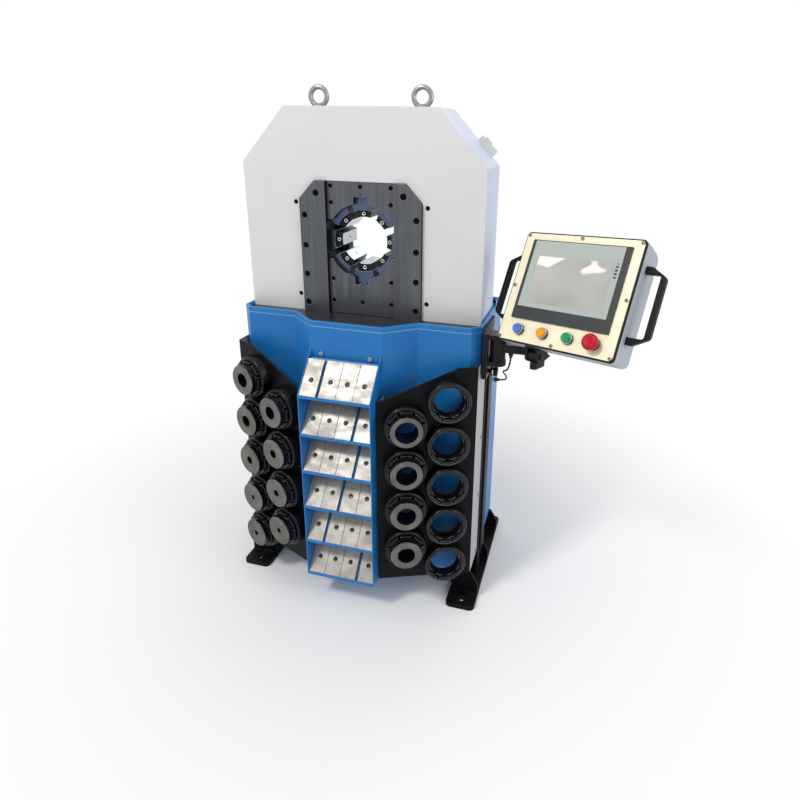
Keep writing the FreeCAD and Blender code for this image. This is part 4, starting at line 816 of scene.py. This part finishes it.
# the touch screen's bezel, film and display, told apart by their place on the panel
touchScreen = {
    "middle": (0.5774, -0.2182, 1.009),
    "turns": (-31.1, -27.9, -4.5),     # degrees about Z, then X, then Y
    "film": (-0.126, 0.122, -0.0525, 0.123),
    "display": (-0.105, 0.106, -0.040, 0.083),
    "keys": (0.1095, 0.1165, 0.046, 0.0825),
    "bezelColor": (0.03, 0.035, 0.038),
    "bezelShade": (0.04, 0.046, 0.05),
    "filmColor": (0.42, 0.47, 0.44),
    "displayColor": (0.5, 0.49, 0.46),
    "displayShade": (0.37, 0.365, 0.35),
    "glareColor": (0.9, 0.88, 0.85),
    "glareStretch": (12.0, 1.0, 20.0),
    "glareFoot": 0.012,                # the light shapes fade towards this height on the panel
    "glareRise": (-0.2, 0.09),         # added to their noise from there to the display's top
    "glareEdge": (0.52, 0.56),
    "hazeScale": 8.0,
    "hazeEdge": (0.35, 0.7),
    "keyRows": 36.0,
    "keyEdge": (0.3, 0.5),
    "keyColor": (0.04, 0.045, 0.05),
    "rimColor": (0.2, 0.21, 0.23),
    "rimShow": 0.5,
    "rough": (0.36, 0.46),
    "filmGloss": 0.22,
}


def panelMatrix():
    aboutZ, aboutX, aboutY = (radians(turn) for turn in touchScreen["turns"])
    return Matrix.Rotation(aboutZ, 3, "Z") @ Matrix.Rotation(aboutX, 3, "X") @ Matrix.Rotation(aboutY, 3, "Y")


def panelPlaces(tree):
    mapping = tree.nodes.new("ShaderNodeMapping")
    mapping.vector_type = "TEXTURE"
    mapping.inputs["Location"].default_value = touchScreen["middle"]
    mapping.inputs["Rotation"].default_value = panelMatrix().to_euler("XYZ")
    tree.links.new(objectPlaces(tree), mapping.inputs["Vector"])
    return mapping.outputs[0]


def rectangle(tree, places, sides):
    left, right, bottom, top = sides
    node = place(tree, panelRectangle, Left=left, Right=right, Bottom=bottom, Top=top)
    tree.links.new(places, node.inputs["Place"])
    return node.outputs["Mask"]


def makeScreenFinish():
    material, tree, shader = startFinish("touchScreen")
    places = panelPlaces(tree)
    film = rectangle(tree, places, touchScreen["film"])
    display = rectangle(tree, places, touchScreen["display"])
    keys = rectangle(tree, places, touchScreen["keys"])
    edges = place(tree, edgeLine, Radius=0.001, Breakup=0.2)
    skin = place(tree, mottle, Scale=12.0, Fine=900.0)
    bezel = blendColors(tree, skin.outputs["Cloud"], touchScreen["bezelColor"], touchScreen["bezelShade"])
    edgeMask = mathNode(tree, "MULTIPLY", edges.outputs["Mask"], touchScreen["rimShow"])
    bezel = blendColors(tree, edgeMask, bezel, touchScreen["rimColor"])
    parts = tree.nodes.new("ShaderNodeSeparateXYZ")
    tree.links.new(places, parts.inputs[0])
    stretched = tree.nodes.new("ShaderNodeVectorMath")
    stretched.operation = "MULTIPLY"
    stretched.inputs[1].default_value = touchScreen["glareStretch"]
    tree.links.new(places, stretched.inputs[0])
    shapes = noise(tree, stretched.outputs[0], 1.0, 1.0, 0.4)
    height = remap(tree, parts.outputs["Z"], touchScreen["glareFoot"], touchScreen["display"][3],
                   *touchScreen["glareRise"])
    glare = remap(tree, mathNode(tree, "ADD", shapes, height), *touchScreen["glareEdge"])
    haze = remap(tree, noise(tree, places, touchScreen["hazeScale"], 2.0, 0.5), *touchScreen["hazeEdge"])
    screen = blendColors(tree, haze, touchScreen["displayColor"], touchScreen["displayShade"])
    screen = blendColors(tree, glare, screen, touchScreen["glareColor"])
    rows = tree.nodes.new("ShaderNodeTexWave")
    rows.bands_direction = "Z"
    rows.inputs["Scale"].default_value = touchScreen["keyRows"]
    tree.links.new(places, rows.inputs["Vector"])
    marks = remap(tree, rows.outputs[1], *touchScreen["keyEdge"])
    keyColor = blendColors(tree, marks, touchScreen["filmColor"], touchScreen["keyColor"])
    color = blendColors(tree, film, bezel, touchScreen["filmColor"])
    color = blendColors(tree, keys, color, keyColor)
    color = blendColors(tree, display, color, screen)
    tree.links.new(color, shader.inputs["Base Color"])
    matt = remap(tree, skin.outputs["Speck"], 0.0, 1.0, *touchScreen["rough"])
    glossy = mathNode(tree, "MULTIPLY", film, touchScreen["filmGloss"])
    tree.links.new(mathNode(tree, "SUBTRACT", matt, glossy), shader.inputs["Roughness"])
    tree.links.new(edges.outputs["Normal"], shader.inputs["Normal"])
    shader.inputs["Specular IOR Level"].default_value = 0.3
    return material


finishes["touchScreen"] = makeScreenFinish()
print("finishes ready:", len(finishes))


# which finish each CAD node takes
nodeFinishes = {
    "cabinetBlue": ["cabinet_shell", "rear_cover", "tray_rim", "block_rack", "oil_tank"],
    "headWhite": ["head_casing"],
    "rackBlack": ["left_die_rack", "right_die_rack"],
    "footBlack": ["left_foot", "right_foot"],
    "armBlack": ["arm_bracket", "swing_arm", "tilt_bracket"],
    "boxGrey": ["control_box"],
    "castGrey": ["hydraulic_cylinder", "motor_pump"],
    "plateSteel": ["upper_plates", "lower_plates", "guide_rails"],
    "traySteel": ["tray_floor"],
    "groundSteel": ["die_blocks", "valve_block"],
    "nearBlackSteel": ["press_frame", "upper_beam", "lower_slide"],
    "ringSteel": ["die_rings"],
    "setSteel": ["die_segments"],
    "screwBlack": ["frame_screws", "slide_screws"],
    "eyeSteel": ["eye_bolts"],
    "chromeSteel": ["piston_rod", "panel_screws"],
    "bezelSteel": ["button_rings"],
    "frontSteel": ["front_panel"],
    "handleBlack": ["panel_handles", "clamp_knob"],
    "switchGrey": ["limit_switch"],
    "sealBlack": ["panel_gasket"],
    "capBlue": ["blue_button"],
    "capOrange": ["orange_button"],
    "capGreen": ["green_button"],
    "capRed": ["stop_button"],
    "touchScreen": ["touch_screen"],
    "cableBlack": ["control_cable"],
}
diePlaces = ["top", "bottom", "left", "right", "top_left", "top_right", "bottom_left", "bottom_right"]
nodeFinishes["dieSteel"] = ["master_die_" + side for side in diePlaces]
nodeFinishes["insertSteel"] = ["die_insert_" + side for side in diePlaces]


def giveFinish(piece, finish):
    piece.data.materials.clear()
    piece.data.materials.append(finishes[finish])


for finish, members in nodeFinishes.items():
    for member in members:
        giveFinish(nodes[member], finish)
for piece in (cable, *glands):
    giveFinish(piece, "cableBlack")
dressed = sum(len(members) for members in nodeFinishes.values())
print("nodes dressed:", dressed, "of", len(nodes))


def finishPiece(piece, body, finish, replaced=(), degrees=modelling["smoothBelow"]):
    smoothPiece(piece, degrees)
    giveFinish(piece, finish)
    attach(piece, body)
    if replaced:
        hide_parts(*replaced)
    return piece


# the screws of the CAD with hexagon sockets sunk into their heads
screwSockets = {
    "corner": 0.54,         # the hexagon's corner radius, as a share of the head's radius
    "depth": 0.55,          # the same for its depth
    "least": 12,            # a screw's top has at least so many corners
    "brightAhead": -0.235,  # screws in front of this and outside the next are zinc plated
    "brightAside": 0.363,
    "ways": ((0.0, -1.0, 0.0, 0.03), (0.0, 1.0, 0.0, 0.03),            # out of the head, and how far out
             (1.0, 0.0, 0.0, 0.3635), (-1.0, 0.0, 0.0, 0.3635)),
}


def copyNode(nodeName, name):
    piece = copyPiece(nodes[nodeName], name, Matrix())
    piece.data.name = name
    pickOnly(piece)
    bpy.ops.mesh.customdata_custom_splitnormals_clear()
    bpy.ops.object.mode_set(mode="EDIT")
    mergePoints()
    bpy.ops.mesh.dissolve_limited(angle_limit=radians(modelling["sameFlat"]))
    bpy.ops.object.mode_set(mode="OBJECT")
    return piece


def isScrewTop(face, ways):
    for *way, least in ways:
        beyond = abs(face.center.x) if abs(way[0]) == 1.0 else face.center.y * way[1]
        isRound = len(face.vertices) >= screwSockets["least"]
        if isRound and face.normal.dot(Vector(way)) > 0.9 and beyond > least:
            return True
    return False


def socketScrews(nodeName, name, ways):
    piece = copyNode(nodeName, name)
    sockets = []
    for face in piece.data.polygons:
        if not isScrewTop(face, ways):
            continue
        radius = (face.area / pi) ** 0.5
        corner = screwSockets["corner"] * radius
        profile = ((corner, -screwSockets["depth"] * radius), (corner, modelling["past"]))
        socket = turnShape("socket", profile, 6)
        socket.data.transform(pointing(face.center, face.normal))
        sockets.append(socket)
    print("sockets in", name + ":", len(sockets))
    cutAway(piece, joinPieces(sockets, "sockets"))
    return piece


frameScrews = socketScrews("frame_screws", "frameScrews", screwSockets["ways"])
finishPiece(frameScrews, "machine", "screwBlack", ["frame_screws"])
frameScrews.data.materials.append(finishes["zincSteel"])
for face in frameScrews.data.polygons:
    if face.center.y < screwSockets["brightAhead"] or abs(face.center.x) > screwSockets["brightAside"]:
        face.material_index = 1
slideScrews = socketScrews("slide_screws", "slideScrews", screwSockets["ways"])
finishPiece(slideScrews, "ram", "screwBlack", ["slide_screws"])
outOfPanel = panelMatrix() @ Vector((0.0, -1.0, 0.0))
panelScrews = socketScrews("panel_screws", "panelScrews", ((*outOfPanel, 0.0),))
finishPiece(panelScrews, "panel", "panelScrewSteel", ["panel_screws"])
print("screws ready")


# a screw head with a socket on the front of each die insert
insertScrew = {
    "radius": 0.00585,
    "socket": 0.0032,
    "from": -0.0776,
    "to": -0.0829,
    "chamfer": 0.0007,
    "reach": 0.0765,
    "level": 1.074,
    "angles": {"right": 0, "top_right": 45, "top": 90, "top_left": 135, "left": 180, "bottom_left": 225,
               "bottom": 270, "bottom_right": 315},
    "socketTurn": 17.0,                      # each socket stands turned, by this times its angle
    "segments": 32,
    "still": {"top": "machine", "bottom": "ram"},
}


def makeInsertScrews():
    look = insertScrew
    length = look["from"] - look["to"]
    radius, chamfer = look["radius"], look["chamfer"]
    past = modelling["past"]
    profile = ((radius, 0.0), (radius, length - chamfer), (radius - chamfer, length))
    head = turnShape("insertScrew", profile, look["segments"])
    cutAway(head, turnShape("socket", ((look["socket"], -past), (look["socket"], length + past)), 6))
    for side, angle in look["angles"].items():
        spot = Vector((0.0, look["from"], look["level"]))
        spot += Matrix.Rotation(radians(-angle), 3, "Y") @ Vector((look["reach"], 0.0, 0.0))
        turned = pointing(spot, frontWay) @ Matrix.Rotation(radians(look["socketTurn"] * angle), 4, "Z")
        screw = copyPiece(head, "insertScrew_" + side, turned)
        finishPiece(screw, look["still"].get(side, "die_" + side), "chromeSteel")
    bpy.data.objects.remove(head)


makeInsertScrews()
print("insert screws ready")


# the slotted rings on the two racks, and the die sets kept in them
rackPanel = {
    "edge": (0.107, -0.2905, 0.0),     # the right panel's inner edge at the front; the left one mirrors it
    "run": (0.9267, 0.3757, 0.0),
    "out": (0.3757, -0.9267, 0.0),
    "columns": ((0.196, 0.682, 5), (0.079, 0.6145, 4)),    # along the panel, highest, how many
    "step": 0.1308,
}
dieRing = {
    "profile": ((0.061, 0.0), (0.061, 0.0272), (0.0597, 0.0296), (0.0568, 0.0314), (0.055, 0.0316),
                (0.0548, 0.0308), (0.0433, 0.0308), (0.0433, 0.0)),
    "flats": ((0.0467, 0.0228), (0.0519, 0.0318)),         # corner radius and height, inside and at the front
    "slot": (0.005, 0.0125, 0.012),
    "slotMiddle": (0.0, 0.0468, 0.0278),
    "eye": ((0.0034, 0.0218), (0.0034, 0.034)),
    "eyeReach": 0.0514,
    "sides": 8,
    "segments": 64,
    "eyeSegments": 14,
}
dieSet = {
    "tail": 0.043,
    "head": 0.045,
    "headFrom": 0.0425,
    "front": 0.058,
    "chamfer": 0.0014,
    "feet": ((0.0555, 0.0325), (0.0562, 0.0332), (0.0562, 0.0402), (0.0555, 0.041)),   # octagon's corners
    "footGap": (0.0095, 0.03, 0.02),
    "footGapMiddle": (0.0, 0.0582, 0.0368),
    "core": ((0.042, 0.03), (0.042, 0.045)),       # what the feet leave free for the set
    "boreChamfer": 0.0008,
    "slitDepth": 0.007,
    "slitOver": 0.002,                             # how much longer the upper slit is than the wall
    "lowerSlit": 0.006,
    "segments": 56,
    "coreSegments": 40,
    "stored": ((1, 1, (0.0315, 0.029, 0.027, 0.025), 0.0013),      # side, column, bores, slit
               (-1, 0, (0.021, 0.017, 0.012, 0.0075, 0.008), 0.0006),
               (-1, 1, (0.019, 0.0125, 0.010, 0.008), 0.0006)),
}


def rackSpots(side, column):
    edge, run, out = (Vector(rackPanel[key]) for key in ("edge", "run", "out"))
    along, highest, count = rackPanel["columns"][column]
    spots = []
    for row in range(count):
        spot = edge + run * along + Vector((0.0, 0.0, highest - row * rackPanel["step"]))
        spots.append(pointing((side * spot.x, spot.y, spot.z), (side * out.x, out.y, 0.0)))
    return spots


def makeDieRings():
    sides = dieRing["sides"]
    ring = turnShape("dieRing", dieRing["profile"], dieRing["segments"], bored=True)
    flats = turnShape("flats", dieRing["flats"], sides)
    flats.data.transform(Matrix.Rotation(pi / sides, 4, "Z"))
    cutAway(ring, flats)
    slot = addBar("slot", dieRing["slot"], dieRing["slotMiddle"])
    eye = turnShape("eye", dieRing["eye"], dieRing["eyeSegments"])
    eye.data.transform(Matrix.Translation((0.0, dieRing["eyeReach"], 0.0)))
    slot = joinPieces([slot, eye], "slot")
    slots = [copyPiece(slot, "slot", turn) for turn in roundTurns(sides, pi / sides)]
    bpy.data.objects.remove(slot)
    cutAway(ring, joinPieces(slots, "slots"))
    rings = [copyPiece(ring, "dieRing", spot)
             for side in (-1, 1) for column in (0, 1) for spot in rackSpots(side, column)]
    bpy.data.objects.remove(ring)
    rings = joinPieces(rings, "dieRings")
    return finishPiece(rings, "machine", "ringSteel", ["die_rings"])


def makeDieFeet():
    sides = dieRing["sides"]
    feet = turnShape("dieFeet", dieSet["feet"], sides)
    feet.data.transform(Matrix.Rotation(pi / sides, 4, "Z"))
    gap = addBar("gap", dieSet["footGap"], dieSet["footGapMiddle"])
    gaps = [copyPiece(gap, "gap", turn) for turn in roundTurns(sides, pi / sides)]
    bpy.data.objects.remove(gap)
    cutAway(feet, joinPieces(gaps, "gaps"))
    return feet


def makeStoredDies():
    look = dieSet
    foot = makeDieFeet()
    cutAway(foot, turnShape("core", look["core"], look["coreSegments"]))
    tail, head, front = look["tail"], look["head"], look["front"]
    chamfer, narrow, over = look["chamfer"], look["boreChamfer"], look["slitOver"]
    sets, feet = [], []
    for side, column, bores, slit in look["stored"]:
        for bore, spot in zip(bores, rackSpots(side, column)):
            profile = ((tail, 0.0), (tail, look["headFrom"]), (head, look["headFrom"]),
                       (head, front - chamfer), (head - chamfer, front), (bore + narrow, front),
                       (bore, front - narrow), (bore, 0.0))
            body = turnShape("storedDie", profile, look["segments"], bored=True)
            for middle, length in ((0.5 * (bore + head), head - bore + over),
                                   (-head + over, look["lowerSlit"])):
                cutAway(body, addBar("slit", (slit, length, look["slitDepth"]), (0.0, middle, front)))
            body.data.transform(spot)
            sets.append(body)
            feet.append(copyPiece(foot, "dieFeet", spot))
    bpy.data.objects.remove(foot)
    finishPiece(joinPieces(sets, "storedDies"), "machine", "setSteel", ["die_segments"])
    finishPiece(joinPieces(feet, "storedDieFeet"), "machine", "ringSteel")


makeDieRings()
makeStoredDies()
print("die rings and stored dies ready")


# painted shade: dark cups set in the holes of the blocks on the shelves, standing for the shade inside the
# holes
holeShadeCup = {
    "profile": ((0.0058, -0.0065), (0.0058, -0.0001), (0.0073, -0.0001), (0.0073, 0.0002), (0.0064, 0.0004),
                (0.0053, -0.0022), (0.001, -0.0028)),
    "highest": (-0.296465, 0.72472),        # y and z of the top row's holes, on the blocks' faces
    "step": 0.1162,
    "tilt": 49.0,
    "left": -0.1018,                         # where a shelf's first block begins
    "width": 0.048,
    "gap": 0.0012,
    "wideGap": 0.0092,
    "wideAfter": (1, 3, 3, 2, 1, 3),         # the block that each shelf's wide gap follows
    "inRow": 4,
    "segments": 28,
}


def makeHoleShadeCups():
    look = holeShadeCup
    cup = turnShape("holeShadeCup", look["profile"], look["segments"])
    y, z = look["highest"]
    lean = Matrix.Rotation(radians(look["tilt"]), 4, "X")
    cups = []
    for row, wideAfter in enumerate(look["wideAfter"]):
        left = look["left"]
        for number in range(1, look["inRow"] + 1):
            spot = Matrix.Translation((left + look["width"] / 2, y, z - row * look["step"]))
            cups.append(copyPiece(cup, "holeShadeCup", spot @ lean))
            left += look["width"] + (look["wideGap"] if number == wideAfter else look["gap"])
    bpy.data.objects.remove(cup)
    finishPiece(joinPieces(cups, "holeShadeCups"), "machine", "nearBlackSteel")


makeHoleShadeCups()
print("block bushes ready")


# painted highlight: a pale blue strip that fills the groove under the tray's rim, standing for the line of
# light along the rim's lower seam
rimBead = {
    "low": 0.8571,
    "high": 0.8589,
    "proud": 0.0032,
    "round": 0.0006,
    "upright": 0.1,         # a wall's normal leans less than this up or down
}


def isGrooveWall(face):
    outward = face.normal.x * face.center.x + face.normal.y * face.center.y > 0.0
    inGroove = rimBead["low"] < face.center.z < rimBead["high"]
    return outward and inGroove and abs(face.normal.z) < rimBead["upright"]


def makeRimBead():
    bead = copyNode("tray_rim", "rimBead")
    pickFaces(bead, isGrooveWall)
    bpy.ops.mesh.select_all(action="INVERT")
    bpy.ops.mesh.delete(type="FACE")
    bpy.ops.mesh.select_all(action="SELECT")
    bpy.ops.mesh.extrude_region_shrink_fatten(
        TRANSFORM_OT_shrink_fatten={"value": rimBead["proud"], "use_even_offset": True})
    bpy.ops.mesh.bevel(offset=rimBead["round"], segments=3, affect="EDGES")
    faceOutwards()
    bpy.ops.mesh.select_mode(type="VERT")
    bpy.ops.object.mode_set(mode="OBJECT")
    finishPiece(bead, "machine", "paleRimHighlight")


makeRimBead()
print("rim bead ready")


# the four buttons, each a cap turned about its axis and set on the panel
pushButtons = {
    "height": -0.1123,      # on the panel
    "cap": ((0.0115, -0.006), (0.0115, 0.0158), (0.0109, 0.0168), (0.0099, 0.017), (0.0092, 0.0166),
            (0.0088, 0.0156), (0.0045, 0.0151), (0.001, 0.015)),
    "stopCap": ((0.009, -0.006), (0.009, 0.0162), (0.0145, 0.0178), (0.0183, 0.018), (0.0195, 0.0193),
                (0.0195, 0.0243), (0.0187, 0.0268), (0.0168, 0.0288), (0.0142, 0.0298), (0.0115, 0.03),
                (0.0095, 0.0295), (0.0045, 0.029), (0.001, 0.0289)),
    "buttons": (("blue_push", "cap", "blue_button", "blue_plastic", "capBlue", -0.1017),
                ("orange_push", "cap", "orange_button", "orange_plastic", "capOrange", -0.0312),
                ("green_push", "cap", "green_button", "green_plastic", "capGreen", 0.0396),
                ("stop_push", "stopCap", "stop_button", "red_plastic", "capRed", 0.1084)),
    "smoothBelow": 40.0,
    "segments": 56,
}


def panelSpot(across, high):
    turn = panelMatrix()
    side, inward, up = (turn @ Vector(axis) for axis in ((1, 0, 0), (0, 1, 0), (0, 0, 1)))
    spot = Vector(touchScreen["middle"]) + side * across + up * high
    return Matrix.Translation(spot) @ Matrix((side, up, -inward)).transposed().to_4x4()


def makeButtons():
    for body, shape, replaced, slot, finish, across in pushButtons["buttons"]:
        cap = turnShape(finish, pushButtons[shape], pushButtons["segments"])
        cap.data.transform(panelSpot(across, pushButtons["height"]))
        finishPiece(cap, body, finish, [replaced], pushButtons["smoothBelow"])


makeButtons()
print("buttons ready")


# the fluted clamp knob with its bright band
clampKnob = {
    "spot": (0.3803, -0.125, 0.742),
    "grip": ((0.006, 0.0), (0.006, 0.006), (0.0118, 0.006), (0.013, 0.0072), (0.013, 0.0108),
             (0.0118, 0.0112), (0.0118, 0.0152), (0.013, 0.0156), (0.013, 0.0242), (0.0122, 0.0255),
             (0.0108, 0.026), (0.004, 0.026)),
    "band": ((0.0116, 0.0114), (0.0126, 0.0114), (0.0126, 0.015), (0.0116, 0.015)),
    "flutes": 10,
    "flute": ((0.0021, 0.0158), (0.0021, 0.028)),
    "fluteReach": 0.0139,
    "segments": 60,
    "fluteSegments": 16,
}


def makeKnob():
    grip = turnShape("clampKnob", clampKnob["grip"], clampKnob["segments"])
    flute = turnShape("flute", clampKnob["flute"], clampKnob["fluteSegments"])
    flute.data.transform(Matrix.Translation((clampKnob["fluteReach"], 0.0, 0.0)))
    flutes = [copyPiece(flute, "flute", turn) for turn in roundTurns(clampKnob["flutes"])]
    bpy.data.objects.remove(flute)
    cutAway(grip, joinPieces(flutes, "flutes"))
    band = turnShape("knobBand", clampKnob["band"], clampKnob["segments"], bored=True)
    spot = pointing(clampKnob["spot"], sideWay)
    for piece in (grip, band):
        piece.data.transform(spot)
    finishPiece(grip, "knob", "handleBlack", ["clamp_knob"])
    finishPiece(band, "knob", "chromeSteel")


makeKnob()
print("clamp knob ready")


# studio
studio = {
    "worldLight": 0.62,
    "key": {"place": (-1.5, -2.7, 4.1), "size": 0.9, "power": 95.0, "tint": (1.0, 0.985, 0.96)},
    "fill": {"place": (3.4, -1.0, 1.9), "size": 2.2, "power": 38.0, "tint": (0.86, 0.92, 1.0)},
    "back": {"place": (0.6, 3.2, 2.8), "size": 2.4, "power": 15.0, "tint": (1.0, 1.0, 1.0)},
    "aim": (0.0, 0.0, 0.8),
    "worldColor": (0.99, 0.99, 1.0),
    "floorColor": (0.9, 0.9, 0.9),
    "floorRadius": 6.0,
    "floorFade": (0.6, 1.5),     # from and to, metres from the middle, where the floor turns white
}


def makeLamp(name, look):
    data = bpy.data.lights.new(name, "AREA")
    data.shape = "DISK"
    data.size = look["size"]
    data.energy = look["power"]
    data.color = look["tint"]
    lamp = bpy.data.objects.new(name, data)
    scene.collection.objects.link(lamp)
    lamp.location = look["place"]
    toAim = Vector(studio["aim"]) - Vector(look["place"])
    lamp.rotation_euler = toAim.to_track_quat("-Z", "Y").to_euler()


def makeWorld():
    world = bpy.data.worlds.new("studio")
    scene.world = world
    world.use_nodes = True
    tree = world.node_tree
    tree.nodes.clear()
    path = tree.nodes.new("ShaderNodeLightPath")
    seen = mathNode(tree, "MAXIMUM", path.outputs["Is Camera Ray"], path.outputs["Is Glossy Ray"])
    seen = mathNode(tree, "MAXIMUM", seen, path.outputs["Is Transmission Ray"])
    light = tree.nodes.new("ShaderNodeBackground")
    light.inputs["Color"].default_value = (*studio["worldColor"], 1.0)
    light.inputs["Strength"].default_value = studio["worldLight"]
    shown = tree.nodes.new("ShaderNodeBackground")
    shown.inputs["Color"].default_value = (1.0, 1.0, 1.0, 1.0)
    mix = tree.nodes.new("ShaderNodeMixShader")
    tree.links.new(seen, mix.inputs[0])
    tree.links.new(light.outputs[0], mix.inputs[1])
    tree.links.new(shown.outputs[0], mix.inputs[2])
    output = tree.nodes.new("ShaderNodeOutputWorld")
    tree.links.new(mix.outputs[0], output.inputs[0])


def makeFloor():
    bpy.ops.object.select_all(action="DESELECT")
    bpy.ops.mesh.primitive_circle_add(vertices=96, radius=studio["floorRadius"], fill_type="NGON")
    floor = bpy.context.object
    floor.name = "studioFloor"
    material = bpy.data.materials.new("studioFloor")
    material.use_nodes = True
    tree = material.node_tree
    tree.nodes.clear()
    length = tree.nodes.new("ShaderNodeVectorMath")
    length.operation = "LENGTH"
    tree.links.new(objectPlaces(tree), length.inputs[0])
    far = remap(tree, length.outputs["Value"], *studio["floorFade"])
    path = tree.nodes.new("ShaderNodeLightPath")
    seen = mathNode(tree, "MAXIMUM", path.outputs["Is Camera Ray"], path.outputs["Is Glossy Ray"])
    diffuse = tree.nodes.new("ShaderNodeBsdfDiffuse")
    diffuse.inputs["Color"].default_value = (*studio["floorColor"], 1.0)
    white = tree.nodes.new("ShaderNodeEmission")
    white.inputs["Strength"].default_value = 1.0
    mix = tree.nodes.new("ShaderNodeMixShader")
    tree.links.new(mathNode(tree, "MULTIPLY", far, seen), mix.inputs[0])
    tree.links.new(diffuse.outputs[0], mix.inputs[1])
    tree.links.new(white.outputs[0], mix.inputs[2])
    output = tree.nodes.new("ShaderNodeOutputMaterial")
    tree.links.new(mix.outputs[0], output.inputs[0])
    floor.data.materials.append(material)


makeWorld()
for lampName in ("key", "fill", "back"):
    makeLamp(lampName + "Lamp", studio[lampName])
makeFloor()
print("studio ready")
